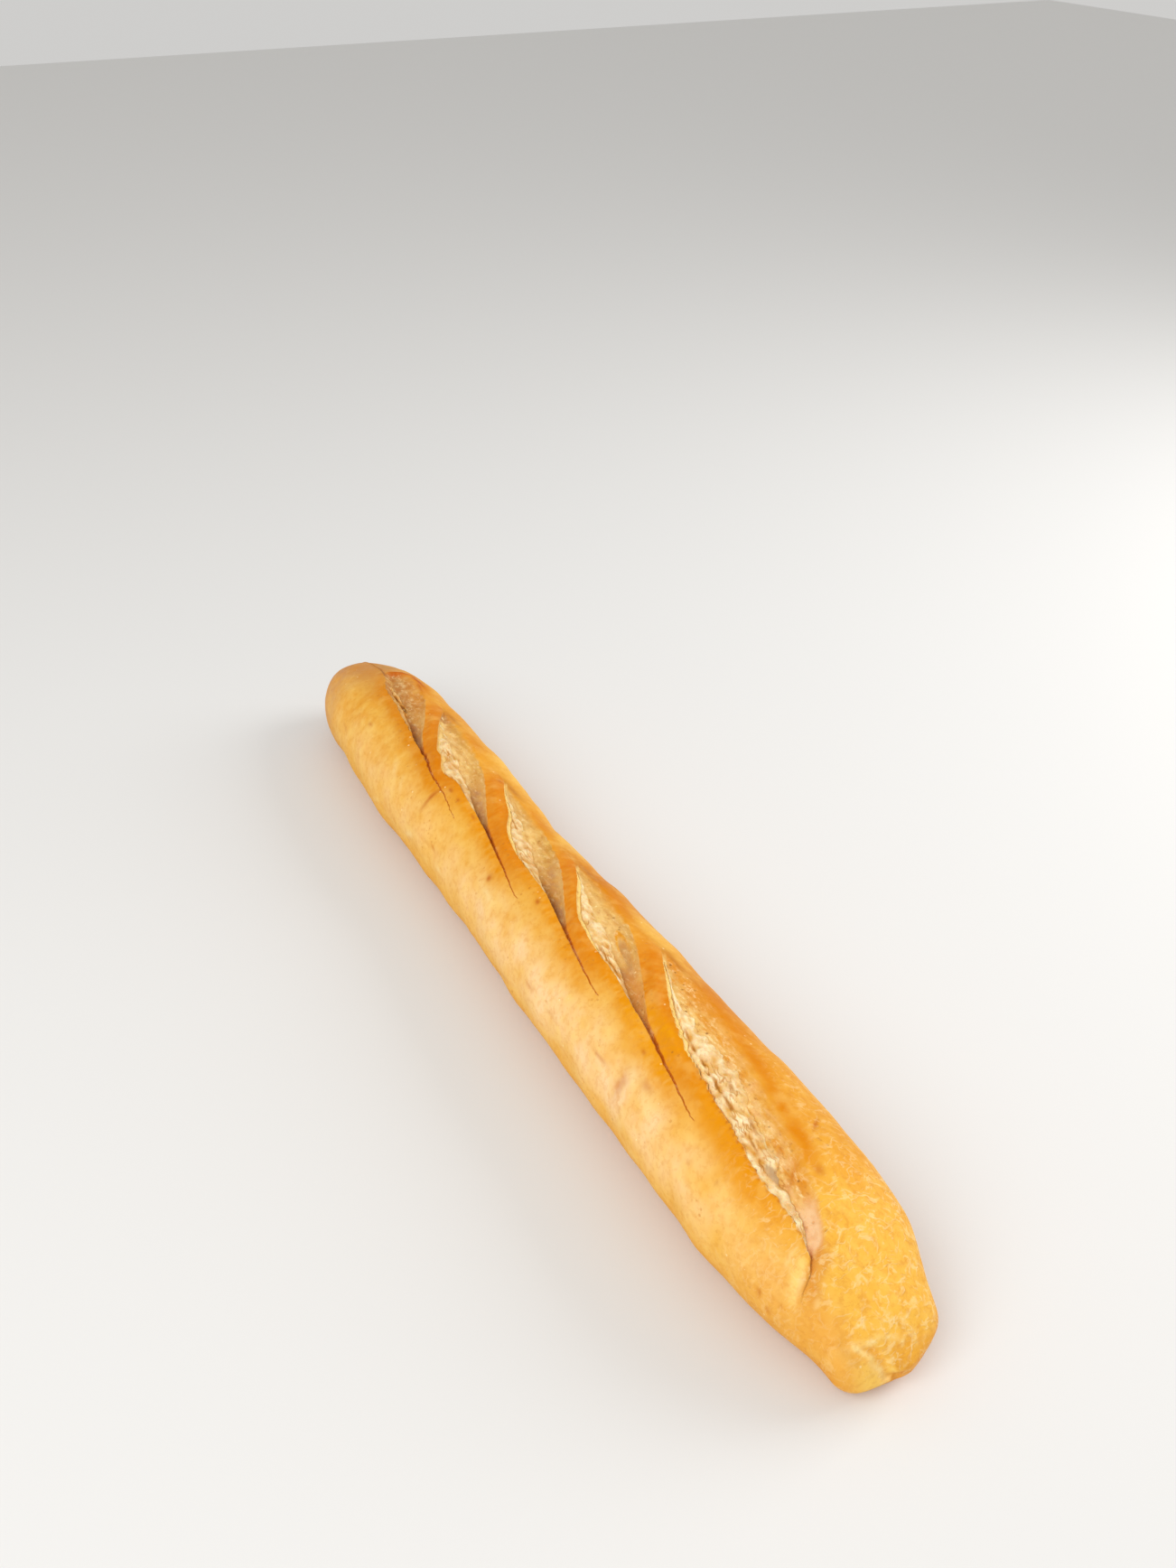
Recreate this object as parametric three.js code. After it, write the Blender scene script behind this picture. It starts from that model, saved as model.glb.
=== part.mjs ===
// A baguette: one loaf, baked on a flat tray, scored with five long slanting cuts.
//
// Units are millimetres. The loaf lies along X and rests on Z = 0. Places on its skin are given by
// s, the distance along X, and by an angle round the loaf in degrees: 0 faces +Y, 90 is the top,
// 180 faces -Y and 270 is the middle of the underside.
import * as THREE from 'three';
import { mergeVertices } from 'three/addons/utils/BufferGeometryUtils.js';

// ---------- Driving dimensions ----------

const FAR_END = -274;         // s of the round end
const NEAR_END = 265;         // s of the blunt end
const FAR_ROUNDING = 33;      // length over which the round end closes
const NEAR_ROUNDING = 12;     // the same for the blunt end
const NEAR_SQUARENESS = 1.8;  // 2 closes as a circle, less is more pointed

// Half widths to either side of the middle line, as [s, millimetres].
const LEFT_WIDTH = [[-274, 22.5], [-255, 24.6], [-215, 29.8], [-150, 34.2], [-100, 34.1], [-45, 32.8],
  [30, 35.8], [110, 35.9], [185, 36.2], [225, 30.3], [245, 23], [265, 16.5]];
const RIGHT_WIDTH = [[-274, 26], [-255, 28], [-215, 33.1], [-150, 33.8], [-100, 33.4], [-45, 32.1],
  [30, 34.4], [110, 35.7], [185, 36.5], [222, 34.6], [243, 28.4], [265, 17]];
const CROWN_RATIO = 0.84;     // height of the crown over its half width
const BELLY_RATIO = 0.82;     // depth of the lower half over its half width
const BELLY_SQUARENESS = 2.5; // how boxy the lower half is, 2 being an ellipse
const TRAY_CUT = 0.8;         // how much of the belly the tray has pressed flat

// The cuts. A lip is the sharp left edge of a cut and a bank its soft right side, both as
// [distance along X from where the cut starts, angle], and a depth is [that distance, millimetres].
const LIP = [[0, 62], [24, 82], [47, 98.5], [60, 103], [88, 105], [120, 111.5], [166, 124.5]];
const BANK = [[0, 61], [32, 60], [48, 63.5], [64, 70], [80, 79], [120, 108], [166, 140]];
const DEPTH = [[0, 0.3], [12, 1.6], [30, 2.8], [55, 3.8], [100, 4.8], [125, 3.6], [140, 2.2],
  [166, 0.2]];
const FIRST_LIP = [[-29, 80], [11, 86], [28, 89], [50, 97.5], [81, 102.5], [121, 111], [171, 123]];
const FIRST_BANK = [[-29, 77], [25, 85], [27, 72], [30, 59], [46, 61], [66, 69], [80, 77],
  [98, 91.5], [127, 112], [171, 140]];
const FIRST_DEPTH = [[-29, 1.5], [20, 2.4], [30, 3.2], [55, 4], [100, 4.8], [125, 3.6], [140, 2.2],
  [171, 0.2]];
const LAST_LIP = [[0, 62], [41, 92], [62, 103], [89, 110], [126, 118], [154, 121], [163, 132],
  [166, 152]];
const LAST_BANK = [[0, 61], [10, 56], [34, 56], [62, 65], [90, 75], [134, 92], [156, 108],
  [166, 128]];
const LAST_DEPTH = [[0, 0.3], [15, 2], [45, 3.4], [90, 4.8], [130, 5], [152, 3.8], [166, 0.4]];

// Late is how many millimetres the bank of a cut trails the common shape.
const CUTS = [
  { start: -245, end: -74, lip: FIRST_LIP, bank: FIRST_BANK, depth: FIRST_DEPTH, late: 0 },
  { start: -166, end: 0, lip: LIP, bank: BANK, depth: DEPTH, late: -2 },
  { start: -88, end: 78, lip: LIP, bank: BANK, depth: DEPTH, late: 4 },
  { start: -8, end: 158, lip: LIP, bank: BANK, depth: DEPTH, late: -5 },
  { start: 70, end: 236, lip: LAST_LIP, bank: LAST_BANK, depth: LAST_DEPTH, late: 0 },
];
const CRACK = [[60, 3], [120, 2.8], [166, 1.6]];  // narrowest width of a cut, in degrees
const CUT_FADE = 3;           // length over which a cut runs out past its end
const LIP_WALL = 2.4;         // width of the wall under a lip, in degrees
const BANK_CURVE = 3;         // how late the floor of a cut climbs to its bank
const CRUMB_RISE = 0.7;       // lumps of torn crumb on the floor, as a wave times a slower one
const CRUMB_LENGTH = 23;
const CRUMB_SLOW_LENGTH = 61;
const CRUMB_SLANT = 4;        // how far the lumps slant across the cut, in radians of the wave

// The crust swells beside a lip, and so does the bridge between two cuts.
const ROLL_RISE = 0.9;
const ROLL_OFFSET = 6.5;      // degrees from the lip to the top of the roll
const ROLL_WIDTH = 5;
const ROLL_GROWS = [35, 60];  // distances from the start of the cut
const ROLL_FADES = [135, 160];
const STRAP_RISE = 1.3;
const STRAP_GROWS = [-12, 12];
const STRAP_FADES = [40, 75];
const STRAP_SHOULDER = 0.6;   // share of the bridge's width over which it climbs

// Long, low waves that leave the crust uneven. Each is a wave times a slower one, with their
// lengths along the loaf and the turns that they make round it.
const WAVES = [
  { rise: 0.35, length: 60, turns: 2, shift: 0, slowLength: 195, slowTurns: -1 },
  { rise: 0.3, length: 33, turns: -3, shift: 1, slowLength: 145, slowTurns: 2 },
];
const UNDERSIDE = [0.45, 0.8]; // depths below the widest line between which the relief fades

// Forms at the ends, each a push that fades with the distance from a straight line in the body.
const KNOB = { from: [260, -17, 6], to: [260, -17, 16], radius: 11, push: [3.6, -1.5, 0] };
const LOBE = { from: [260, 6, 12], to: [256, 18, 18], radius: 10, push: [2.4, 1.5, 0.5] };
const CREASE = { from: [257, -16, 28], to: [267, -4, 12], radius: 4.5, push: [-3, 0.6, -1.4] };
const FAR_LOBE = { from: [-266, -12, 36], to: [-256, -16, 42], radius: 14, push: [-0.6, 0, 1.6] };
const END_FORMS = [KNOB, LOBE, CREASE, FAR_LOBE];

// The mesh of the skin.
const STATIONS_FAR = 8;
const STATIONS_NEAR = 7;
const STATIONS_BODY = 84;
const COLUMNS_RIGHT = 14;
const COLUMNS_LEFT = 14;
const COLUMNS_CUT = 3;        // between a bank and the foot of the lip's wall
const COLUMNS_STRAP = 2;      // between two cuts
const PARKED_SLOPE = 0.2;     // degrees per millimetre, where a column isn't on a cut
const PARKED_WIDTH = 6;       // degrees that a cut's columns take up there
const PARKED_AFTER = 30;      // distance from the cut over which they spread to that
const LEAST_GAP = 0.8;        // degrees between two columns
const MERGE_DISTANCE = 1e-3;

const { clamp, degToRad, lerp, smoothstep } = THREE.MathUtils;

// ---------- Curves ----------

// A smooth line through points, whose slope at a point is that between its neighbours.
function along(points, x) {
  const last = points.length - 1;
  let i = 0;
  while (i < last - 1 && x > points[i + 1][0]) i += 1;
  const slope = (j) => {
    const [x0, y0] = points[Math.max(j - 1, 0)];
    const [x1, y1] = points[Math.min(j + 1, last)];
    return (y1 - y0) / (x1 - x0);
  };
  const [x0, y0] = points[i];
  const [x1, y1] = points[i + 1];
  const h = x1 - x0;
  const t = clamp((x - x0) / h, 0, 1);
  return y0 * (1 + 2 * t) * (1 - t) ** 2 + slope(i) * h * t * (1 - t) ** 2
    + y1 * t * t * (3 - 2 * t) - slope(i + 1) * h * t * t * (1 - t);
}

const bell = (x, width) => Math.exp(-((x / width) ** 2));

const growsAndFades = (x, grows, fades) => smoothstep(x, ...grows) * (1 - smoothstep(x, ...fades));

const wave = (s, length, turn) => Math.sin((2 * Math.PI * s) / length + turn);

// ---------- The smooth body ----------

// How far the section has closed at s: 1 along the body and 0 at the tips.
function closing(s) {
  const far = clamp(1 - (s - FAR_END) / FAR_ROUNDING, 0, 1);
  const near = clamp(1 - (NEAR_END - s) / NEAR_ROUNDING, 0, 1);
  return Math.sqrt(1 - far * far) * (1 - near ** NEAR_SQUARENESS) ** (1 / NEAR_SQUARENESS);
}

// The section is an ellipse above its widest line and a rounded box below it.
function body(s, angle) {
  const left = along(LEFT_WIDTH, s);
  const right = along(RIGHT_WIDTH, s);
  const half = (left + right) / 2;
  const c = Math.cos(degToRad(angle));
  const n = Math.sin(degToRad(angle));
  const boxy = (Math.abs(c) ** BELLY_SQUARENESS + Math.abs(n) ** BELLY_SQUARENESS)
    ** (-1 / BELLY_SQUARENESS);
  const below = n < 0;
  const reach = closing(s) * (below ? boxy : 1);
  const middle = BELLY_RATIO * half;
  const y = (right - left) / 2 + half * c * reach;
  const z = middle + (below ? middle : CROWN_RATIO * half) * n * reach;
  return new THREE.Vector3(s, y, Math.max(z - TRAY_CUT, 0));
}

function bodyNormal(s, angle) {
  const step = 0.5;
  const alongX = body(s + step, angle).sub(body(s - step, angle));
  const round = body(s, angle + step).sub(body(s, angle - step));
  return round.cross(alongX).normalize();
}

// ---------- The cuts ----------

function lipAngle(cut, s) {
  return along(cut.lip, s - cut.start);
}

function bankAngle(cut, s) {
  const passed = s - cut.start;
  const narrowest = lipAngle(cut, s) - along(CRACK, passed);
  return Math.min(along(cut.bank, passed - cut.late), narrowest);
}

function cutDepth(cut, s) {
  return along(cut.depth, s - cut.start) * smoothstep(cut.end + CUT_FADE - s, 0, CUT_FADE);
}

// Height of the floor of a cut. It falls from the lip as a wall, carries lumps of torn crumb, and
// climbs slowly to the bank.
function cutFloor(cut, s, lip, bank, angle) {
  const across = (lip - angle) / (lip - bank);
  if (across <= 0 || across >= 1) return 0;
  const wall = smoothstep(across, 0, Math.min(LIP_WALL / (lip - bank), 0.5));
  const depth = cutDepth(cut, s);
  const slant = CRUMB_SLANT * across;
  const crumb = wave(s, CRUMB_LENGTH, slant) * wave(s, CRUMB_SLOW_LENGTH, -slant) * wave(across, 2, 0);
  return wall * (Math.min(CRUMB_RISE, depth) * crumb - depth * (1 - across ** BANK_CURVE));
}

// Height of the skin over the smooth body, in millimetres.
function relief(s, angle) {
  let height = 0;
  CUTS.forEach((cut, k) => {
    const passed = s - cut.start;
    if (passed < cut.lip[0][0] || s > cut.end + CUT_FADE) return;
    const lip = lipAngle(cut, s);
    const bank = bankAngle(cut, s);
    height += cutFloor(cut, s, lip, bank, angle);
    const rolled = growsAndFades(passed, ROLL_GROWS, ROLL_FADES);
    if (angle >= lip) height += ROLL_RISE * rolled * bell(angle - lip - ROLL_OFFSET, ROLL_WIDTH);
    const next = CUTS[k + 1];
    if (!next) return;
    const strap = (bank - angle) / (bank - lipAngle(next, s));
    const shown = growsAndFades(s - next.start, STRAP_GROWS, STRAP_FADES);
    if (strap > 0 && strap <= 1) height += STRAP_RISE * shown * smoothstep(strap, 0, STRAP_SHOULDER);
  });
  return height;
}

function unevenness(s, angle) {
  const a = degToRad(angle);
  return WAVES.reduce((height, w) => height + w.rise * wave(s, w.length, w.turns * a + w.shift)
    * wave(s, w.slowLength, w.slowTurns * a), 0);
}

// ---------- The skin ----------

function pushed(point, form) {
  const line = new THREE.Line3(new THREE.Vector3(...form.from), new THREE.Vector3(...form.to));
  const nearest = line.closestPointToPoint(point, true, new THREE.Vector3());
  const share = bell(point.distanceTo(nearest), form.radius);
  return new THREE.Vector3(...form.push).multiplyScalar(share);
}

function skin(s, angle) {
  const place = body(s, angle);
  const tip = s <= FAR_END || s >= NEAR_END;
  if (!tip) {
    const shown = 1 - smoothstep(-Math.sin(degToRad(angle)), ...UNDERSIDE);
    const height = (relief(s, angle) + unevenness(s, angle)) * shown * closing(s);
    place.addScaledVector(bodyNormal(s, angle), height);
  }
  const moves = END_FORMS.map((form) => pushed(place, form));
  moves.forEach((move) => place.add(move));
  place.z = Math.max(place.z, 0);
  return place;
}

// Places along X: close together where the ends round off, even between them.
function stationPlaces() {
  const places = [];
  const rounding = (share) => 1 - Math.cos((Math.PI / 2) * share);
  for (let i = 0; i < STATIONS_FAR; i += 1) {
    places.push(FAR_END + FAR_ROUNDING * rounding(i / STATIONS_FAR));
  }
  for (let i = 0; i < STATIONS_BODY; i += 1) {
    places.push(lerp(FAR_END + FAR_ROUNDING, NEAR_END - NEAR_ROUNDING, i / STATIONS_BODY));
  }
  for (let i = STATIONS_NEAR; i >= 0; i -= 1) {
    places.push(NEAR_END - NEAR_ROUNDING * rounding(i / STATIONS_NEAR));
  }
  return places;
}

// The columns of the mesh run along the lips and banks, so that every cut has a crisp edge. Away
// from its cut, a column drifts round the loaf and helps to divide the flank.
function columnAngles(s) {
  const angles = [-90];
  const next = (wanted, steps) => {
    const from = angles.at(-1);
    const to = Math.max(wanted, from + LEAST_GAP * steps);
    for (let i = 1; i <= steps; i += 1) angles.push(lerp(from, to, i / steps));
  };
  [...CUTS].reverse().forEach((cut, i) => {
    const before = Math.max(cut.lip[0][0] + cut.start - s, 0);
    const after = Math.max(s - cut.end, 0);
    const drift = PARKED_SLOPE * (after - before);
    const parked = PARKED_WIDTH * smoothstep(before + after, 0, PARKED_AFTER);
    const lip = lipAngle(cut, s) + drift;
    const bank = bankAngle(cut, s) + drift - parked;
    next(bank, i === 0 ? COLUMNS_RIGHT : COLUMNS_STRAP);
    next(lip - Math.min(LIP_WALL, (lip - bank) / 2), COLUMNS_CUT);
    next(lip, 1);
  });
  next(270, COLUMNS_LEFT);
  return angles;
}

// A sphere's grid of vertices, closed at both poles, is moved onto the skin row by row.
function loafGeometry() {
  const stations = stationPlaces().reverse();
  const columns = stations.map(columnAngles);
  const around = columns[0].length - 1;
  const geometry = new THREE.SphereGeometry(1, around, stations.length - 1);
  const position = geometry.attributes.position;
  for (let i = 0; i < position.count; i += 1) {
    const row = Math.floor(i / (around + 1));
    const place = skin(stations[row], columns[row][i % (around + 1)]);
    position.setXYZ(i, place.x, place.y, place.z);
  }
  geometry.deleteAttribute('normal');
  geometry.deleteAttribute('uv');
  const merged = mergeVertices(geometry, MERGE_DISTANCE);
  merged.computeBoundingBox();
  const middle = merged.boundingBox.getCenter(new THREE.Vector3());
  merged.translate(-middle.x, -middle.y, 0);
  merged.computeVertexNormals();
  return merged;
}

const crust = new THREE.MeshStandardMaterial({ color: 0xe6a548, roughness: 0.6, metalness: 0 });

const loaf = new THREE.Mesh(loafGeometry(), crust);
loaf.name = 'loaf';

const baguette = new THREE.Group();
baguette.add(loaf);

export default baguette;
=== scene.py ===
# %% [markdown]
# # A baguette
# A baguette is one long roll of dough. The baker draws a blade over it five times, slantwise, and
# bakes it. The skin sets and browns, the cuts tear open, and pale crumb shows in them. It could be
# sculpted by hand, but then every bump would be lost work if the size changed. Here the whole loaf is
# one surface that numpy works out from named sizes, so a change of one number reshapes all of it. The
# solid model of the same loaf comes first, as a frame to fill.

# %% Load the frame
import math

import bpy
import numpy as np
from mathutils import Matrix, Vector


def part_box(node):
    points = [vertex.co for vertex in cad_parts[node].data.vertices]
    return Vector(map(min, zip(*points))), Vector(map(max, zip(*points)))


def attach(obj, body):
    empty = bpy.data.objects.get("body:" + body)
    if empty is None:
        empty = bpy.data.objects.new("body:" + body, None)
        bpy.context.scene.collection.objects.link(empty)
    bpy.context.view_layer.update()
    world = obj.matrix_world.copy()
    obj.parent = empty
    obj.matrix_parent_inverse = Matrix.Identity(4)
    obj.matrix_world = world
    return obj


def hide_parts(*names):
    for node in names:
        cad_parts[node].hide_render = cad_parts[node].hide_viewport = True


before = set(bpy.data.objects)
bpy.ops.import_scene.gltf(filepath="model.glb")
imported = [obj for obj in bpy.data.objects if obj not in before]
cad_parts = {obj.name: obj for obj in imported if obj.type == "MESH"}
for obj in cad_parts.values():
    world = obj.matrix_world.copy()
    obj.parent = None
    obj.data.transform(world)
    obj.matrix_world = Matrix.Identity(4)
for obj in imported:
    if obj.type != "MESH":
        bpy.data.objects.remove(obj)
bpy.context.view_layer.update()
loaf_low, loaf_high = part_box("loaf")
print("the solid loaf measures", [round(1000 * v, 1) for v in loaf_high - loaf_low], "mm")

# %% [markdown]
# ## Lines through a few points
# A loaf has no exact radii. Its widths and its cuts are drawn, so each is a list of a few points
# with one smooth line through them, which is easy to correct. The other helpers make every soft
# border: a step that eases from 0 to 1, and a bell that is 1 in the middle and fades both ways.

# %% Curves
def along(points, x):
    """Smooth line through points: between two of them a cubic, whose slope at a point is the slope
    between that point's neighbours. Before the first and after the last point the line is level."""
    at, value = np.asarray(points, float).T
    slope = np.empty(len(at))
    slope[1:-1] = (value[2:] - value[:-2]) / (at[2:] - at[:-2])
    slope[0] = (value[1] - value[0]) / (at[1] - at[0])
    slope[-1] = (value[-1] - value[-2]) / (at[-1] - at[-2])
    i = np.clip(np.searchsorted(at, x) - 1, 0, len(at) - 2)
    h = at[i + 1] - at[i]
    t = np.clip((x - at[i]) / h, 0, 1)
    return (value[i] * (1 + 2 * t) * (1 - t) ** 2 + slope[i] * h * t * (1 - t) ** 2
            + value[i + 1] * t * t * (3 - 2 * t) - slope[i + 1] * h * t * t * (1 - t))


def ease(x, low, high):
    """0 below low, 1 above high, and between them 3t² - 2t³, which starts and ends level."""
    t = np.clip((x - low) / (high - low), 0, 1)
    return t * t * (3 - 2 * t)


def window(x, grows, fades):
    """Eases from 0 to 1 over the first pair of places and back to 0 over the second."""
    return ease(x, *grows) * (1 - ease(x, *fades))


def bell(x, width):
    """e to the power of minus (x / width) squared: 1 at 0, a third at one width, gone at two."""
    return np.exp(-((x / width) ** 2))


print("an eased step at a quarter of its way is", ease(0.25, 0, 1))

# %% [markdown]
# ## The plain body
# Before it is cut, the loaf is a long sausage with a flat strip where it lay on the tray. A place on
# it has two coordinates: s, the distance along the loaf in millimetres, and an angle round it in
# degrees, with 0 facing +Y, 90 on top and 180 facing -Y. The section at each s is half an ellipse over
# half a rounded box. Its two half widths follow their own lines, because no loaf is quite straight.

# %% The body
FAR_END = -274.0
NEAR_END = 265.0
FAR_ROUNDING = 33.0
NEAR_ROUNDING = 12.0
NEAR_SQUARENESS = 1.8
LEFT_WIDTH = [[-274, 22.5], [-255, 24.6], [-215, 29.8], [-150, 34.2], [-100, 34.1], [-45, 32.8],
              [30, 35.8], [110, 35.9], [185, 36.2], [225, 30.3], [245, 23], [265, 16.5]]
RIGHT_WIDTH = [[-274, 26], [-255, 28], [-215, 33.1], [-150, 33.8], [-100, 33.4], [-45, 32.1],
               [30, 34.4], [110, 35.7], [185, 36.5], [222, 34.6], [243, 28.4], [265, 17]]
CROWN_RATIO = 0.84
BELLY_RATIO = 0.82
BELLY_SQUARENESS = 2.5
TRAY_CUT = 0.8


def closing(s):
    """How far the section has opened: a circle's arc at the far end, a much shorter curve at the
    near end."""
    far = np.clip(1 - (s - FAR_END) / FAR_ROUNDING, 0, 1)
    near = np.clip(1 - (NEAR_END - s) / NEAR_ROUNDING, 0, 1)
    return np.sqrt(1 - far ** 2) * (1 - near ** NEAR_SQUARENESS) ** (1 / NEAR_SQUARENESS)


def body(s, angle):
    """Half an ellipse above the widest line, and below it a box whose corners are rounded by adding
    the powers of cosine and sine. The lowest 0.8 mm is pressed flat."""
    s, angle = np.broadcast_arrays(np.asarray(s, float), np.asarray(angle, float))
    left, right = along(LEFT_WIDTH, s), along(RIGHT_WIDTH, s)
    half = (left + right) / 2
    c, n = np.cos(np.radians(angle)), np.sin(np.radians(angle))
    boxy = (abs(c) ** BELLY_SQUARENESS + abs(n) ** BELLY_SQUARENESS) ** (-1 / BELLY_SQUARENESS)
    reach = closing(s) * np.where(n < 0, boxy, 1)
    height = np.where(n < 0, BELLY_RATIO, CROWN_RATIO) * half
    y = (right - left) / 2 + half * c * reach
    z = BELLY_RATIO * half + height * n * reach - TRAY_CUT
    return np.stack([s + 0 * c, y, np.maximum(z, 0)], -1)


def unit(vectors):
    """Each vector divided by its own length."""
    return vectors / np.maximum(np.linalg.norm(vectors, axis=-1, keepdims=True), 1e-9)


def body_directions(s, angle, step=0.5):
    """Outward and round the loaf: the differences between places a small step apart, along s and
    round by angle, and the cross product of the two."""
    lengthwise = body(s + step, angle) - body(s - step, angle)
    crosswise = body(s, angle + step) - body(s, angle - step)
    return unit(np.cross(crosswise, lengthwise)), unit(crosswise)


print("the widest section is", round(float(np.ptp(body(185.0, np.arange(360.0))[:, 1])), 1), "mm across")

# %% [markdown]
# ## The five cuts
# A cut runs from the right flank over the top to the left flank. Its left edge, the lip, is sharp,
# because there the blade went in and the skin lifted. Its right side, the bank, is soft: there the
# skin was stretched and never parted. Each cut starts as a point, opens, and closes again to a crack,
# and between two cuts a strap of skin is left. All lines are measured from the cut's start.

# %% The cuts' lines
FIRST_LIP = [[-29, 80], [11, 85.5], [32, 89.7], [45, 97], [62, 99.5], [85, 103.6], [105, 107.4],
             [115, 109.2], [125, 111.6], [135, 115.1], [155, 118], [171, 123]]
SECOND_LIP = [[0, 61], [12, 71.8], [22, 81], [38, 93.1], [45, 98.4], [51, 99.2], [58, 104.5],
              [64, 105.8], [74, 102], [86, 103.7], [106, 106.8], [130, 113.4], [166, 124.5]]
THIRD_LIP = [[0, 60], [12, 70.5], [22, 77], [32, 82.5], [43, 92.9], [53, 98.3], [67, 101.8],
             [78, 102.8], [88, 103.8], [102, 105.6], [118, 110.2], [134, 115.3], [166, 124]]
FOURTH_LIP = [[0, 62], [12, 72.4], [20, 78.6], [32, 89.3], [44, 98.2], [52, 101.2], [65, 103.8],
              [84, 105.4], [100, 109.2], [118, 113.2], [138, 118.9], [166, 126.8]]
LAST_LIP = [[0, 62], [10, 71], [30, 86.6], [41, 93.9], [62, 102.4], [80, 106.7], [96, 110.2],
            [118, 115.6], [130, 118], [154, 121], [163, 132], [166, 152]]
FIRST_BANK = [[-29, 77], [25, 85], [27, 72], [30, 59], [46, 61], [66, 70], [80, 79.5], [95, 90.4],
              [105, 99.3], [127, 112], [171, 140]]
BANK = [[0, 61], [32, 60], [48, 63.5], [64, 70], [80, 79], [120, 108], [166, 140]]
LAST_BANK = [[0, 61], [10, 56], [34, 57], [62, 65.5], [90, 75], [134, 91.5], [156, 107], [166, 128]]
FIRST_DEPTH = [[-29, 1.5], [20, 2.4], [30, 3.2], [55, 4], [100, 4.2], [120, 2.4], [135, 1.1],
               [150, 0.6], [171, 0.1]]
DEPTH = [[0, 0.3], [12, 1.6], [30, 2.8], [55, 3.8], [100, 4.2], [120, 2.6], [135, 1.2], [150, 0.6],
         [166, 0.1]]
LAST_DEPTH = [[0, 0.3], [15, 2], [45, 3.4], [90, 4.6], [130, 4.6], [152, 3.2], [162, 1.6], [166, 0.4]]
FIRST_TORN = [[14, 1], [30, 4], [45, 8], [65, 10], [82, 5], [96, 1]]
TORN = [[4, 1], [12, 4], [28, 9], [38, 14], [50, 17], [60, 17], [70, 12], [80, 8], [90, 4], [104, 1]]
LAST_TORN = [[4, 1], [12, 5], [30, 9], [40, 13], [50, 17.5], [70, 21], [90, 22], [100, 18],
             [112, 18], [122, 18], [131, 10], [142, 8], [150, 4], [156, 1]]
LEVEL = [[0, 1.2], [171, 1.2]]
FLUSH = [[0, -0.3], [60, -0.3], [90, 0.5], [166, 0.5]]
OVER = [[0, -1.5], [20, -3], [45, -2.6], [75, 0.3], [166, 0.5]]
LAST_OVER = [[0, -1.5], [20, -3.5], [50, -3.2], [85, 0.8], [166, 1.2]]
# Late shifts the bank along the cut, and crisp is where it turns into a step. Ragged shakes the lip.
# Torn is how wide the crumb is, over how far it passes the lip, and tone how much cream is in it.
MIDDLE = dict(bank=BANK, depth=DEPTH, torn=TORN, crisp=50)
CUTS = [
    dict(start=-245, end=-74, lip=FIRST_LIP, bank=FIRST_BANK, depth=FIRST_DEPTH, torn=FIRST_TORN,
         late=0, crisp=60, ragged=0.8, over=LEVEL, tone=0.0),
    dict(MIDDLE, start=-166, end=0, lip=SECOND_LIP, late=-2, ragged=0.3, over=FLUSH, tone=0.55),
    dict(MIDDLE, start=-88, end=78, lip=THIRD_LIP, late=4, ragged=0.3, over=OVER, tone=0.6),
    dict(MIDDLE, start=-8, end=158, lip=FOURTH_LIP, late=-5, ragged=0.4, over=OVER, tone=0.85),
    dict(start=70, end=236, lip=LAST_LIP, bank=LAST_BANK, depth=LAST_DEPTH, torn=LAST_TORN,
         late=0, crisp=300, ragged=1.1, over=LAST_OVER, tone=1.0),
]
LAST = CUTS[-1]
CRACK = [[60, 4.2], [112, 4.2], [124, 3.2], [136, 2.2], [150, 1.5], [166, 0.8]]
CUT_FADE = 3.0


def opened(cut, s):
    """Whether s lies between the first point of the lip and the place where the cut has faded."""
    return (s - cut["start"] > cut["lip"][0][0]) & (s < cut["end"] + CUT_FADE)


def lip_angle(cut, s):
    """The lip's own line, and a ragged wave of three lengths on it that grows along the cut."""
    wave = (0.4 * np.sin(s / 0.7 + 2.6 * np.sin(s / 3.1)) + 0.4 * np.sin(s / 1.4 + 2 * np.sin(s / 6.3))
            + 0.4 * np.sin(s / 5.2 + 2))
    passed = s - cut["start"]
    return along(cut["lip"], passed) + cut["ragged"] * wave * ease(passed, 10, 70)


def bank_angle(cut, s):
    """The bank's own line, which never comes nearer to the lip than the crack is wide."""
    passed = s - cut["start"]
    narrowest = lip_angle(cut, s) - along(CRACK, passed)
    return np.minimum(along(cut["bank"], passed - cut["late"]), narrowest)


def measures(cut, s, angle):
    """Where a place lies in a cut: its distance along the cut, its degrees from the lip, its share of
    the way from lip to bank, and how deep the cut is there. The depth eases out past the cut's end."""
    passed = s - cut["start"]
    from_lip = lip_angle(cut, s) - angle
    across = from_lip / (lip_angle(cut, s) - bank_angle(cut, s))
    depth = along(cut["depth"], passed) * ease(cut["end"] + CUT_FADE - s, 0, CUT_FADE)
    return passed, from_lip, across, depth


for number, cut in enumerate(CUTS, 1):
    on_it = np.arange(cut["start"], cut["end"])
    widest = float(np.max(lip_angle(cut, on_it) - bank_angle(cut, on_it)))
    print("cut", number, "opens to", round(widest), "degrees of the loaf's round")

# %% [markdown]
# ## A net that crowds at the lips
# The surface is a net of stations along the loaf and columns round it. An even net would need
# millions of faces before a lip looked sharp, and subdivision would round every edge. Here a weight
# says where columns are wanted: few on the underside, more on top, and many at a lip. Adding the
# weights up round the loaf and reading that sum backwards gives angles that crowd at the lips.

# %% The net
STATIONS = 522
COLUMNS = 188
MOST_TRIANGLES = 200_000
UNDER_WEIGHT = 0.45
TOP_WEIGHT = 1.5
LIP_WEIGHT = 9.0
BANK_WEIGHT = 1.5


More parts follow.
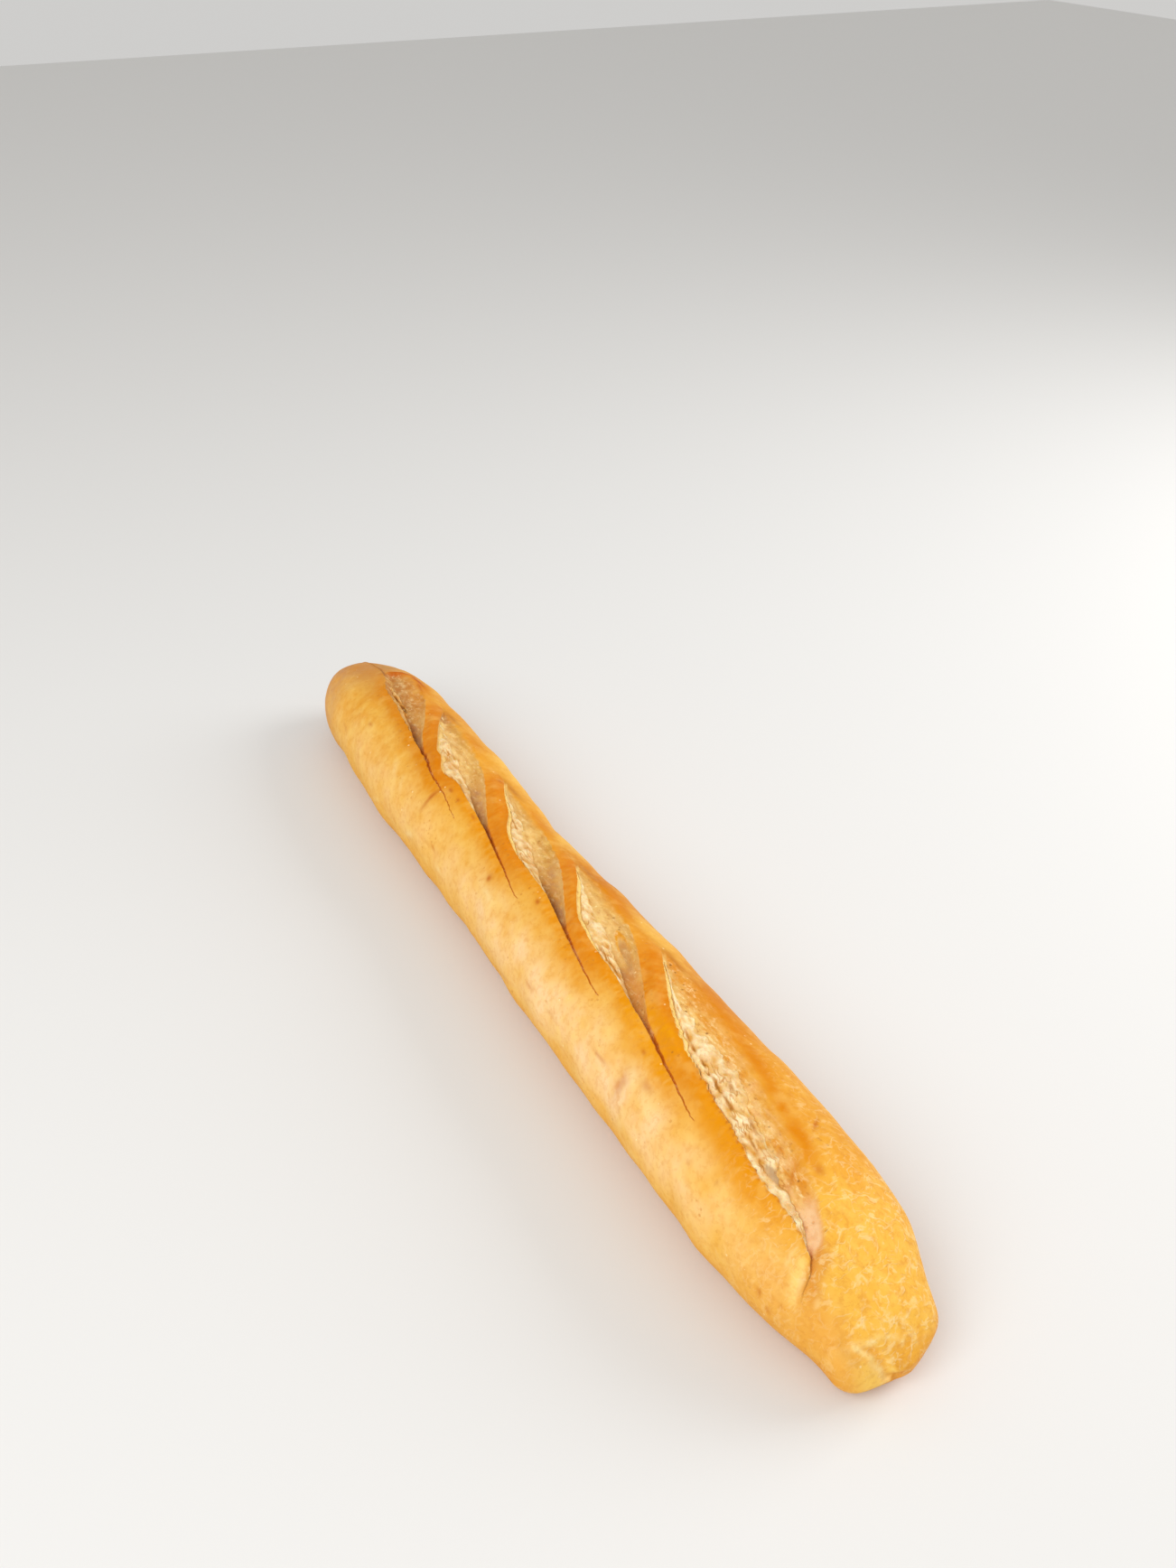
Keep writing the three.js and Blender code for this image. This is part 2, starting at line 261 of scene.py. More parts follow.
def station_places():
    """Even steps along the body, and steps that shorten like a cosine where the ends round off."""
    step = (NEAR_END - FAR_END) / STATIONS
    far, near = int(1.6 * FAR_ROUNDING / step), int(1.9 * NEAR_ROUNDING / step)
    middle = STATIONS - far - near
    rounding = 1 - np.cos(np.pi / 2 * np.arange(1, far) / far)
    blunting = 1 - np.cos(np.pi / 2 * np.arange(1, near) / near)
    straight = np.linspace(FAR_END + FAR_ROUNDING, NEAR_END - NEAR_ROUNDING, middle)
    return np.concatenate([FAR_END + FAR_ROUNDING * rounding, straight,
                           (NEAR_END - NEAR_ROUNDING * blunting)[::-1]])


def column_angles(s):
    """Weights round the loaf are added up and scaled to run from 0 to 1. The columns lie where the
    sum passes even fractions. All stations are read at once by stacking their sums."""
    fine = np.linspace(-90, 270, 1801)
    weight = 1 + 0 * s[:, None] * fine
    weight -= (1 - UNDER_WEIGHT) * (1 - window(fine, (-30, -5), (195, 225)))
    weight += TOP_WEIGHT * window(fine, (15, 40), (128, 145))
    for cut in CUTS:
        passed = s - cut["start"]
        begins, ends = cut["lip"][0][0], cut["end"] - cut["start"]
        shown = window(passed, (begins - 12, begins + 6), (ends - 4, ends + 12))
        lip = along(cut["lip"], passed)[:, None]
        weight += LIP_WEIGHT * shown[:, None] * bell(fine - lip + 0.6, 1.6)
        weight += BANK_WEIGHT * shown[:, None] * bell(fine - bank_angle(cut, s)[:, None], 3)
    total = np.cumsum(weight, axis=1)
    total = (total - total[:, :1]) / (total[:, -1:] - total[:, :1])
    row = 2.0 * np.arange(len(s))[:, None]
    wanted = row + np.arange(COLUMNS) / COLUMNS
    return np.interp(wanted, (total + row).ravel(), np.tile(fine, len(s))).reshape(wanted.shape)


stations = station_places()
s = stations[:, None]
angle = column_angles(stations)
triangles = 2 * COLUMNS * len(stations)
assert triangles < MOST_TRIANGLES, triangles
print(len(stations), "stations of", COLUMNS, "columns give", triangles, "triangles")

# %% [markdown]
# ## Noise, made by hand
# Baked dough is uneven at every size. Blender's noise textures can shake a material, but the export
# drops shader displacement, so whatever is deep enough to see from the side has to be in the mesh.
# Gradient noise gives soft lumps, and layers of it, each finer than the last, give dough. It is
# worked out at the loaf's places in space, not on the unrolled skin, so it has no seam.

# %% Gradient noise
def noise(points, size, seed):
    """Gradient noise, about -1 to 1. Space is divided into cubes of the given size. Each corner has
    a random slope, and a point blends the heights that the eight slopes around it give there."""
    rng = np.random.default_rng(seed)
    order = rng.permutation(256)
    slopes = unit(rng.normal(size=(256, 3)))
    scaled = points / size
    corner = np.floor(scaled).astype(int)
    part = scaled - corner
    eased = part ** 3 * (part * (part * 6 - 15) + 10)
    total = 0
    for offset in np.ndindex(2, 2, 2):
        x, y, z = np.moveaxis(corner + offset, -1, 0)
        picked = order[(order[(order[x & 255] + y) & 255] + z) & 255]
        share = np.prod(np.where(offset, eased, 1 - eased), -1)
        total = total + share * (slopes[picked] * (part - offset)).sum(-1)
    return 1.8 * total


def rough(points, size, seed, layers=3):
    """Layers of noise, each half the size and half the height of the one before."""
    return sum(noise(points, size / 2 ** i, seed + i) / 2 ** i for i in range(layers))


smooth_body = body(s, angle)
print("noise over the loaf lies between", np.round(np.percentile(noise(smooth_body, 20, 1), [1, 99]), 2))

# %% [markdown]
# ## The hollow of a cut
# From lip to bank, a cut has first the wall under the lip, which leans back under the skin where the
# cut narrows. Then comes the floor, wet dough that dried in the oven. It climbs to the bank, softly on
# the flank and in a crisp step against a strap. Cutting with a Boolean would leave edges too clean for
# dough, so the hollow is a depth for every place.

# %% The hollow
LIP_WALL = 1.5
GENTLE_WALL = 4.0
GENTLE_GROWS, GENTLE_FADES = (2, 20), (50, 75)
WALL_POWER = 1.4
BANK_POWER = 1.5


def hollow(cut, s, angle):
    """Depth of the cut's floor. With a the share of the way to the bank, a soft bank is (1 - a²) to
    the power 1.5, which ends level, and a crisp one is 1 - a³, which ends in a step. The wall eases
    the floor down from the lip."""
    passed, from_lip, across, depth = measures(cut, s, angle)
    a = np.clip(across, 0, 1)
    crisp = ease(passed, cut["crisp"] - 10, cut["crisp"] + 8)
    gentle = LIP_WALL * (1 + GENTLE_WALL * window(passed, GENTLE_GROWS, GENTLE_FADES))
    wall_width = np.minimum(gentle, 0.5 * from_lip / np.maximum(across, 1e-6))
    wall = ease(from_lip, 0, wall_width) ** WALL_POWER
    return -depth * ((1 - a ** 2) ** BANK_POWER * (1 - crisp) + (1 - a ** 3) * crisp), wall, crisp


for number, cut in enumerate(CUTS, 1):
    there = cut["start"] + 60.0
    floor_depth = float(hollow(cut, there, lip_angle(cut, there) - 9)[0])
    print("60 mm along cut", number, "its floor lies at", round(floor_depth, 1), "mm")

# %% [markdown]
# ## Heights, slides and masks
# The wall under a lip leans back, and a flat displacement can't do that. So each place of the skin
# gets two moves: a height outward and a slide round the loaf. The same loop fills masks, which say
# how much a place belongs to a floor, a wall, a crack, a narrowing end or a bank. The colours are laid
# through them, so colour and shape always agree.

# %% Lay the cuts into the skin
UNDERCUT = 1.3
PORE_DEPTH = 0.22
LEAN_FROM = (55, 80)
LEAN_WIDTH = 2.6
EDGE_JITTER = 0.06
SOFT_BANK, CRISP_BANK = 0.35, 0.03
WALL_SHOWN = (3.0, 5.5)
LATE_FROM = (64, 90)
CRACK_WIDTH = (2.6, 8.0)
RIM_OFFSET, RIM_WIDTH = 3.2, 8.0

height, slide, rim_mask = 0 * angle, 0 * angle, 0 * angle
floor_mask, wall_mask, narrowing_shade_mask, crack_mask, halo_mask = (0 * angle for mask in range(5))
across_mask, passed_mask = 0 * angle + 1, 0 * angle - 99

for number, cut in enumerate(CUTS):
    passed, from_lip, across, depth = measures(cut, s, angle)
    inside = opened(cut, s) & (across > 0) & (across < 1)
    sunk, wall, crisp = hollow(cut, s, angle)
    width = from_lip / across
    pores = PORE_DEPTH * rough(smooth_body, 5, 80 + number) * np.clip(depth / 2, 0, 1)
    height = np.where(inside, wall * (sunk + pores), height)
    lean = UNDERCUT * np.clip(depth / 4, 0, 1) * np.clip(width / 9, 0.1, 1) * ease(passed, *LEAN_FROM)
    slide = np.where(inside, lean * wall * bell(from_lip - LIP_WALL, LEAN_WIDTH), slide)

    ragged_edge = across + EDGE_JITTER * noise(smooth_body, 4, 84)
    fading = SOFT_BANK * (1 - crisp) + CRISP_BANK
    floor_mask = np.where(inside, ease(1 - ragged_edge, 0, fading) * ease(passed, 0, 8), floor_mask)
    wall_mask = np.where(inside, 1 - ease(from_lip, *WALL_SHOWN), wall_mask)
    # Where the cut narrows; its floor is given painted shade later
    narrowing_shade_mask = np.where(inside, ease(passed, *LATE_FROM) * (cut is not LAST), narrowing_shade_mask)
    crack_mask = np.where(inside, 1 - ease(width, *CRACK_WIDTH), crack_mask)
    across_mask = np.where(inside, across, across_mask)
    passed_mask = np.where(inside, passed, passed_mask)
    halo = 1 - ease(from_lip / np.maximum(along(cut["torn"], passed), 1), 0.9, 2.2)
    halo_mask = np.where(inside, halo, halo_mask)
    rim = bell(from_lip - width - RIM_OFFSET, RIM_WIDTH) * (passed > 0) * (1 - ease(s, 190, 220))
    rim_mask = np.maximum(rim_mask, rim * (1 - crisp) * ease(passed, 22, 34))

print("the deepest place in a cut lies", round(float(-height.min()), 1), "mm under the skin")

# %% [markdown]
# ## The skin beside the cuts
# Opening up pushed the skin aside: it swells in a low roll along each lip, curls up at the very edge,
# and bulges on the straps. A sculptor would pull these up with a brush. Here they depend on the
# distance from a lip, so they stay beside it wherever the cut is drawn.

# %% Rolls and straps
ROLL_RISE = 0.9
ROLL_OFFSET = 6.5
ROLL_WIDTH = 5.0
CURL_RISE = 0.4
CURL_WIDTH = 1.6
STRAP_RISE = 1.3
STRAP_SHOULDER = 0.6
FAR_AWAY = 999.0
ROLL_GROWS, ROLL_FADES = (35, 60), (135, 160)
STRAP_GROWS, STRAP_FADES = (-12, 12), (40, 75)

glow_mask, strap_mask = 0 * angle, 0 * angle

for number, cut in enumerate(CUTS):
    passed = s - cut["start"]
    lip, bank = lip_angle(cut, s), bank_angle(cut, s)
    beyond = np.where(opened(cut, s) & (angle >= lip), angle - lip, FAR_AWAY)
    shown = window(passed, (cut["lip"][0][0], cut["lip"][0][0] + 15), (100, 150))
    height += ROLL_RISE * window(passed, ROLL_GROWS, ROLL_FADES) * bell(beyond - ROLL_OFFSET, ROLL_WIDTH)
    height += CURL_RISE * shown * bell(beyond, CURL_WIDTH)
    glow_mask = np.maximum(glow_mask, window(passed, (20, 50), (140, 175)) * bell(beyond - 2, 10))
    if cut is not LAST:
        following = CUTS[number + 1]
        strap = (bank - angle) / (bank - lip_angle(following, s))
        swell = window(s - following["start"], STRAP_GROWS, STRAP_FADES)
        on_strap = opened(cut, s) & (strap > 0) & (strap <= 1)
        height += np.where(on_strap, STRAP_RISE * swell * ease(strap, 0, STRAP_SHOULDER), 0)
        shown = window(s - following["start"], (-18, 5), (60, 95))
        strap_mask = np.maximum(strap_mask, on_strap * shown)

print("the skin rises up to", round(float(height.max()), 1), "mm beside the cuts")

# %% [markdown]
# ## A lobe and a blister
# The first cut has a second, shallow lobe at its far end, and the fourth has a thin blister on its
# floor, with a ring round it. They are too regular to come out of noise, so each is given its own place.

# %% Two single forms
# s, angle, half length, half width in degrees, and the degrees it climbs for each millimetre
LOBE = (-238, 70, 14, 11, 0)
BLISTER = (64, 85, 13, 4.2, 0.42)
LOBE_RISE = -1.0
BLISTER_RISE = -0.9
BLISTER_RIM = 0.45


def oval(s, angle, at, at_angle, length, wide, climb=0.0):
    """Bell of the distance from a middle, with its own size along and round the loaf."""
    turned = angle - at_angle - climb * (s - at)
    return bell(np.hypot((s - at) / length, turned / wide), 1)


lobe, blister = oval(s, angle, *LOBE), oval(s, angle, *BLISTER)
blister_rim = window(blister, (0.22, 0.36), (0.44, 0.6)) * ease(-s + 0.5 * angle, -27, -12)
height += LOBE_RISE * lobe
height += BLISTER_RISE * ease(blister, 0.4, 0.8) + BLISTER_RIM * blister_rim
print("the blister covers", int((blister > 0.4).sum()), "places of the net")

# %% [markdown]
# ## Unevenness
# Even where the skin is whole it isn't smooth: there are long waves, finger-wide dents, and scallops
# low on the left. The waves are products of two sines, as in the solid model, and the rest is noise.
# Two short helpers mark off a part of the loaf, here for the scallops and later for colours.

# %% Waves and dents
WAVES = [(0.35, 60, 2, 0, 195, -1), (0.3, 33, -3, 1, 145, 2)]
DENT_RISE = 0.28
RIPPLE_RISE = 0.09
SCALLOP_RISE = 0.6


def ring(*places):
    """1 between the middle two of four angles round the loaf, and eased to 0 at the outer two."""
    return window(angle, places[:2], places[2:])


def stretch(*places):
    """The same for four places along the loaf."""
    return window(s, places[:2], places[2:])


a = np.radians(angle)
for rise, length, turns, shift, slow_length, slow_turns in WAVES:
    height += rise * (np.sin(2 * np.pi * s / length + turns * a + shift)
                      * np.sin(2 * np.pi * s / slow_length + slow_turns * a))
height += DENT_RISE * noise(smooth_body, 24, 11) + RIPPLE_RISE * rough(smooth_body, 7, 12)
height += SCALLOP_RISE * noise(smooth_body, 26, 21) * ring(165, 190, 215, 235)
print("waves and dents stay within", round(sum(wave[0] for wave in WAVES) + DENT_RISE, 2), "mm")

# %% [markdown]
# ## Scars and specks
# The skin has scars, scratches, specks and puckers, and two of the dark marks are painted shadow
# lines, at the edge of the last cut's crumb and in the crack at its end. They are a list, one bracket
# each: where, how long, how wide, how turned, how deep, and which way the colour goes. Each is a bell
# of the distance from its middle, shaken by noise so that no edge is even.

# %% Marks
DEGREE = 0.61  # millimetres of skin for each degree
# s, angle, half length, half width in degrees, turn in degrees, rise, darkness (negative is paler)
MARKS = [
    (-218, 68, 10.5, 3.2, -85, 0.6, 1.1), (-208, 57, 9.0, 2.6, 0, 0.3, 1.1),
    (-197, 63, 7.0, 2.0, 12, 0.2, 0.7), (-93, 129, 7.5, 2.2, 84, -0.3, 0.8),
    (-21, 132, 2.6, 3.4, 0, 0.2, 0.85), (-88, 111, 1.5, 1.6, 0, -0.3, 0.9),
    (-79, 111, 1.4, 1.5, 0, -0.2, 0.7), (-63, 110, 2.5, 1.2, 10, -0.2, 0.6),
    (-85, 67, 2.0, 2.0, 0, 0.3, 0.8), (15, 114, 1.6, 1.8, 0, -0.2, 0.9),
    (120, 124, 1.5, 1.5, 0, -0.1, 0.6), (-72, 160, 7.0, 1.5, 0, -0.3, 0.45),
    (-96, 174, 7.0, 3.5, -35, 0.3, -0.8), (-12, 142, 10.0, 2.5, 0, 0.2, -0.7),
    (-3, 136, 6.0, 6.0, 20, -0.3, -0.4), (47, 162, 4.5, 1.5, -10, -0.3, 0.4),
    (67, 164, 5.0, 1.3, 0, -0.2, 0.35), (103, 151, 8.0, 1.0, 4, -0.25, 0.5),
    (121, 152, 3.5, 11.0, 0, -0.7, 0.5), (125, 141, 4.0, 3.0, 30, 0.3, -0.7),
    (141, 146, 6.5, 5.0, 15, 0.2, -0.8), (133, 137, 4.0, 3.0, 0, -0.3, 0.4),
    (223, 174, 1.0, 3.5, 0, -0.3, 0.6), (228, 184, 1.0, 3.5, 0, -0.3, 0.5),
    (-130, 138, 5.0, 3.0, 40, 0.4, -0.5), (-118, 143, 5.0, 2.5, 50, 0.3, -0.4),
    (-175, 131, 2.0, 2.0, 0, 0.3, 0.6), (185, 64, 5.0, 1.2, 50, -0.5, 0.7),
    # The mark at 211 and 113.2 is a painted shadow line between the crumb and the floor
    (211, 113.2, 8.5, 0.8, 7, -0.4, 1.2), (192, 100, 4.5, 1.4, 60, -0.3, 0.35),
    (203, 103, 5.0, 1.4, 51, -0.3, 0.4), (-200, 158, 5.0, 1.5, 10, -0.2, 0.3),
    (187, 140, 1.0, 2.5, 0, -0.3, 0.5), (172, 146, 1.2, 1.5, 0, -0.2, 0.4),
    (232, 168, 1.0, 3.0, 0, -0.3, 0.4), (-140, 184, 5.0, 2.0, -30, 0.3, -0.5),
    (128, 167, 1.8, 1.5, 20, -0.3, 0.5), (20, 190, 8.0, 2.5, -20, -0.4, 0.3),
    (-60, 172, 3.5, 2.5, 0, 0.3, -0.6), (205, 86, 2.0, 3.0, 30, -0.5, 0.5),
    (225, 136, 6.0, 1.6, 75, 0.3, -0.7), (233, 141, 6.0, 1.5, 72, 0.4, -0.7),
    # The mark at 229.8 and 124.5 is a painted shadow line in the crack at the last cut's end
    (240.5, 142, 3.0, 1.2, 85, 0.35, -0.7), (229.8, 124.5, 3.5, 1.1, 50, 0, 0.9),
]
MARK_JITTER = 0.35


def spot(s, angle, jitter, at, at_angle, length, wide, turn):
    """A bell of the distance from a place, longer than wide, turned, with an uneven edge."""
    x, y = s - at, (angle - at_angle) * DEGREE
    c, n = math.cos(math.radians(turn)), math.sin(math.radians(turn))
    return bell(np.hypot((x * c + y * n) / length, (y * c - x * n) / (wide * DEGREE)) + jitter, 1)


jitter = MARK_JITTER * noise(smooth_body, 3, 77)
dark_mark_and_shadow, pale_mark = 0 * angle, 0 * angle
for *where, rise, dark in MARKS:
    shape = spot(s, angle, jitter, *where)
    height += rise * shape * (1 - floor_mask)
    dark_mark_and_shadow = np.maximum(dark_mark_and_shadow, max(dark, 0) * shape)
    pale_mark = np.maximum(pale_mark, max(-dark, 0) * shape)
print(len(MARKS), "small marks lie on the crust")

# %% [markdown]
# ## The forms of the two ends
# The blunt end has a knob and a lobe with a crease between them, and the far tip is pinched up a
# little. Each is a push that fades with the distance from a short line in the dough, like the grab
# brush in sculpting. The crease wanders, so it measures from places shaken by noise. Its pale line is
# a painted highlight on the knob's edge.

# %% Pushes
END_FORMS = [
    dict(line=((260, -17, 6), (260, -17, 16)), radius=11, push=(3.6, -1.5, 0)),
    dict(line=((260, 6, 12), (256, 18, 18)), radius=10, push=(2.4, 1.5, 0.5)),
    dict(line=((257, -16, 28), (267, -4, 12)), radius=4.5, push=(-3, 0.6, -1.4)),
    dict(line=((-266, -12, 36), (-256, -16, 42)), radius=14, push=(-0.6, 0, 1.6)),
]
CREASE = dict(line=((256.5, -12.5, 26), (265, -1.5, 8.5)), radius=1.4, push=(1.1, -0.6, 0.8))
GROOVE = dict(line=((257.5, -9.5, 25.5), (265, 0.8, 9.5)), radius=2.0, push=(-1.5, 0, -0.6))
CREASE_WANDER = 1.3


def nearness(places, form):
    """A bell of each place's distance from the form's line. The nearest point of the line is found by
    how far along it the place projects, kept between its two ends."""
    start, end = np.array(form["line"], float)
    run = end - start
    share = np.clip((places - start) @ run / (run @ run), 0, 1)
    return bell(np.linalg.norm(places - start - share[..., None] * run, axis=-1), form["radius"])


def pushed(places, form):
    """The form's push, times the nearness."""
    return nearness(places, form)[..., None] * np.array(form["push"])


def shaken(places):
    """Places moved along one diagonal by noise."""
    return places + CREASE_WANDER * noise(places, 6, 95)[..., None]


print(len(END_FORMS) + 2, "pushes shape the ends")

# %% [markdown]
# ## From heights to places
# Every place moves outward by its height and round by its slide. The relief fades out under the
# loaf, which lay on the tray, and at the tips, where all columns meet. A last wavy ridge, the shelf,
# runs across the blunt end. The loaf is centred, as the solid one is.

# %% Place the net
UNDERSIDE = (0.45, 0.8)
MILLIMETRE = 0.001
SHELF = [[28, 260], [45, 261], [65, 259.5], [86, 260.6], [105, 258.5], [124, 257.7], [140, 257],
         [161, 253]]
SHELF_RISE = 0.6
SHELF_WIDTH = 0.8
SHELF_WANDER = 0.9


def placed(s, angle, height, slide=0.0):
    """Places in millimetres, moved off the plain body by height outward and by slide round it. Both
    fade underneath and at the tips. The pushes of the end forms come last."""
    shown = (1 - ease(-np.sin(np.radians(angle)), *UNDERSIDE)) * closing(s)
    outward, crosswise = body_directions(s, angle)
    moved = outward * (height * shown)[..., None] + crosswise * (slide * shown)[..., None]
    moved = body(s, angle) + moved
    wandering = shaken(moved)
    return (moved + sum(pushed(moved, form) for form in END_FORMS)
            + sum(pushed(wandering, form) for form in (CREASE, GROOVE)))


shelf_line = along(SHELF, angle) + SHELF_WANDER * noise(smooth_body, 5, 91)
shelf = bell(s - shelf_line, SHELF_WIDTH) * ring(24, 40, 135, 165)
height += SHELF_RISE * shelf
places = placed(s, angle, height, slide)
places[..., 2] = np.maximum(places[..., 2], 0)
tips = np.array([body(FAR_END, 0.0), body(NEAR_END, 0.0)])
tips = tips + sum(pushed(tips, form) for form in END_FORMS)
low = np.minimum(places.reshape(-1, 3).min(0), tips.min(0))
high = np.maximum(places.reshape(-1, 3).max(0), tips.max(0))
middle = (low + high) / 2 * (1, 1, 0)
crease, groove = (nearness(shaken(places), form) for form in (CREASE, GROOVE))
print("the loaf's skin measures", np.round(high - low, 1), "mm, moved by", np.round(-middle, 2))

# %% [markdown]
# ## The colour of the bake
# Crust is golden where it baked gently, deep orange where it stood up to the heat, along lips and on
# straps, and pale on the flank, where a painted highlight adds to the paler bake. Crumb is cream;
# where a cut narrows it is greyish brown with painted shade. This could be painted by hand. Here it is
# a recipe: start with gold, then lay each tint over it through a mask. This first part makes the
# masks: noise of a few sizes, floors of the cuts, and the two ends.

# %% Where the colours go
def tint(red, green, blue):
    """A screen colour of 0 to 255, turned into the linear light that a shader works with."""
    c = np.array([red, green, blue]) / 255
    return np.where(c <= 0.04045, c / 12.92, ((c + 0.055) / 1.055) ** 2.4)


PALE_SHARE = [[-274, 0.0], [-215, 0.18], [-140, 0.45], [-80, 0.45], [-40, 0.6], [30, 0.9], [120, 1],
              [170, 0.7], [215, 0.35], [265, 0.1]]
# s, angle, half length, half width in degrees
PALE_SPOTS = [(57, 49, 26, 18), (-29, 42, 22, 17), (-104, 36, 26, 16)]

mottle = rough(smooth_body, 16, 31, 4)
patches = rough(smooth_body, 9, 33, 3)
fine = rough(smooth_body, 3.6, 35, 3)
strands = rough(smooth_body * (0.3, 1, 1), 2.6, 37, 3)
bent = s / 2.2 + 1.2 * noise(smooth_body, 9, 38)
streaks = rough(np.stack([bent, angle * DEGREE / 6, 0 * angle], -1), 1, 36, 3)

far_half = 1 - ease(s, -190, -40)
near_end = ease(s, 190, 240)
in_last = opened(LAST, s) & (angle <= lip_angle(LAST, s)) & (angle >= bank_angle(LAST, s))
in_first = (s < -150) & (angle < 110)
first_floor = floor_mask * in_first * (1 - narrowing_shade_mask)
last_floor = floor_mask * in_last * (1 - ease(s, 228, 232))
early_floor = floor_mask * (1 - narrowing_shade_mask) * ~in_first * ~in_last
pink_end = last_floor * stretch(208, 219, 228, 231)
valley = 0.6 * floor_mask * stretch(227, 231, 234, 239) * in_last
beads = bell(angle - lip_angle(LAST, s) - 0.7, 0.9) * stretch(128, 145, 222, 228)
beads = beads * (0.5 + 0.5 * np.sin(2 * np.pi * s / 3.1 + 2 * np.sin(s / 6.5))) ** 2
last_glow = stretch(140, 165, 205, 226) * window(angle - lip_angle(LAST, s), (0, 1), (7, 28))
starts = sum(oval(s, angle, cut["start"] + 8, 57.5, 10, 4.5) for cut in CUTS[1:])
pale_spots = sum(oval(s, angle, *place) for place in PALE_SPOTS)
past = s - 229 - 0.22 * (angle - 122)
tray = ease(-np.sin(np.radians(angle)), 0.8, 0.98)
print("floors cover", round(100 * float((floor_mask > 0.5).mean())), "percent of the net")

# %% [markdown]
# ## Layers on the whole crust
# Each layer has a name, a screen colour, and its share at each place. The crust comes first: paler
# on the flank that faced its neighbour, with a painted highlight where that flank faces the light,
# amber low down and on the straps, dull at the far tip.

# %% Crust layers
GOLD = (240, 181, 70)
CRUST_LAYERS = [
    # Paler bake on the flank, with a painted highlight where it faces the light
    ("pale flank", (250, 210, 154), along(PALE_SHARE, s) * bell(angle - 158, 27) * (0.85 + 0.5 * mottle)),
    ("pale patches", (247, 200, 115), 0.4 * ease(patches, 0.0, 0.9) * ring(120, 140, 185, 205)),
    ("amber mottle", (228, 148, 28), 0.35 * ease(-mottle, 0.0, 0.8) * (1 - bell(angle - 165, 30))),
    ("far half", (231, 150, 30),
     0.5 * far_half * ease(-patches, -0.5, 0.9) * (1 - 0.7 * ease(angle, 130, 165))),
    ("low left", (231, 146, 12), 0.55 * ring(188, 212, 250, 280)),
    ("right flank", (224, 140, 4),
     (0.5 + 0.45 * stretch(-60, 0, 118, 160)) * ring(14, 48, 64, 88)
     * (1 + 0.3 * patches) * stretch(-245, -200, 205, 240)),
    ("right flank, middle", (206, 118, 0), 0.7 * ring(18, 46, 56, 72) * stretch(-60, -20, 105, 140)),
    ("low right", (231, 146, 60), 0.8 * (1 - ease(angle, -10, 38))),
    ("fine amber", (229, 146, 6), 0.2 * ease(fine, 0.0, 0.8)),
    ("fine cream", (250, 205, 110), 0.2 * ease(-fine, 0.1, 0.8)),
    ("far tip", (210, 149, 91), (1 - ease(s, -262, -200)) * (0.85 + 0.5 * patches)),
    ("far tip, along the cut", (196, 128, 60),
     0.6 * ring(66, 82, 100, 128) * stretch(-275, -240, -225, -170)),
    ("glow at the lips", (228, 143, 4), glow_mask * (0.85 + 0.4 * streaks)),
    ("glow at the last lip", (230, 146, 6), 0.8 * last_glow),
    ("straps", (220, 126, 4), strap_mask * (0.85 + 0.25 * streaks)),
    ("golden glow", (238, 160, 8), np.maximum(glow_mask, strap_mask) * (0.5 + 0.3 * streaks)
     * stretch(85, 105, 122, 150) * ease(angle, 94, 104)),
    ("far glow", (206, 118, 4), 0.5 * glow_mask * (1 - ease(s, -130, -70))),
    ("near end, top", (248, 190, 76), 0.6 * near_end * ring(20, 60, 120, 150)),
    ("near end, left", (232, 160, 60), 0.6 * near_end * ease(angle, 125, 150)),
    ("pale beside the banks", (252, 202, 92), 0.65 * ease(pale_spots + 0.25 * patches, 0.0, 1.1)),
    ("dark at the cuts' starts", (178, 98, 8), 0.65 * starts),
    ("glow at the banks", (219, 131, 0), rim_mask * (0.85 + 0.3 * patches)),
]
print(len(CRUST_LAYERS), "layers lie on the crust")
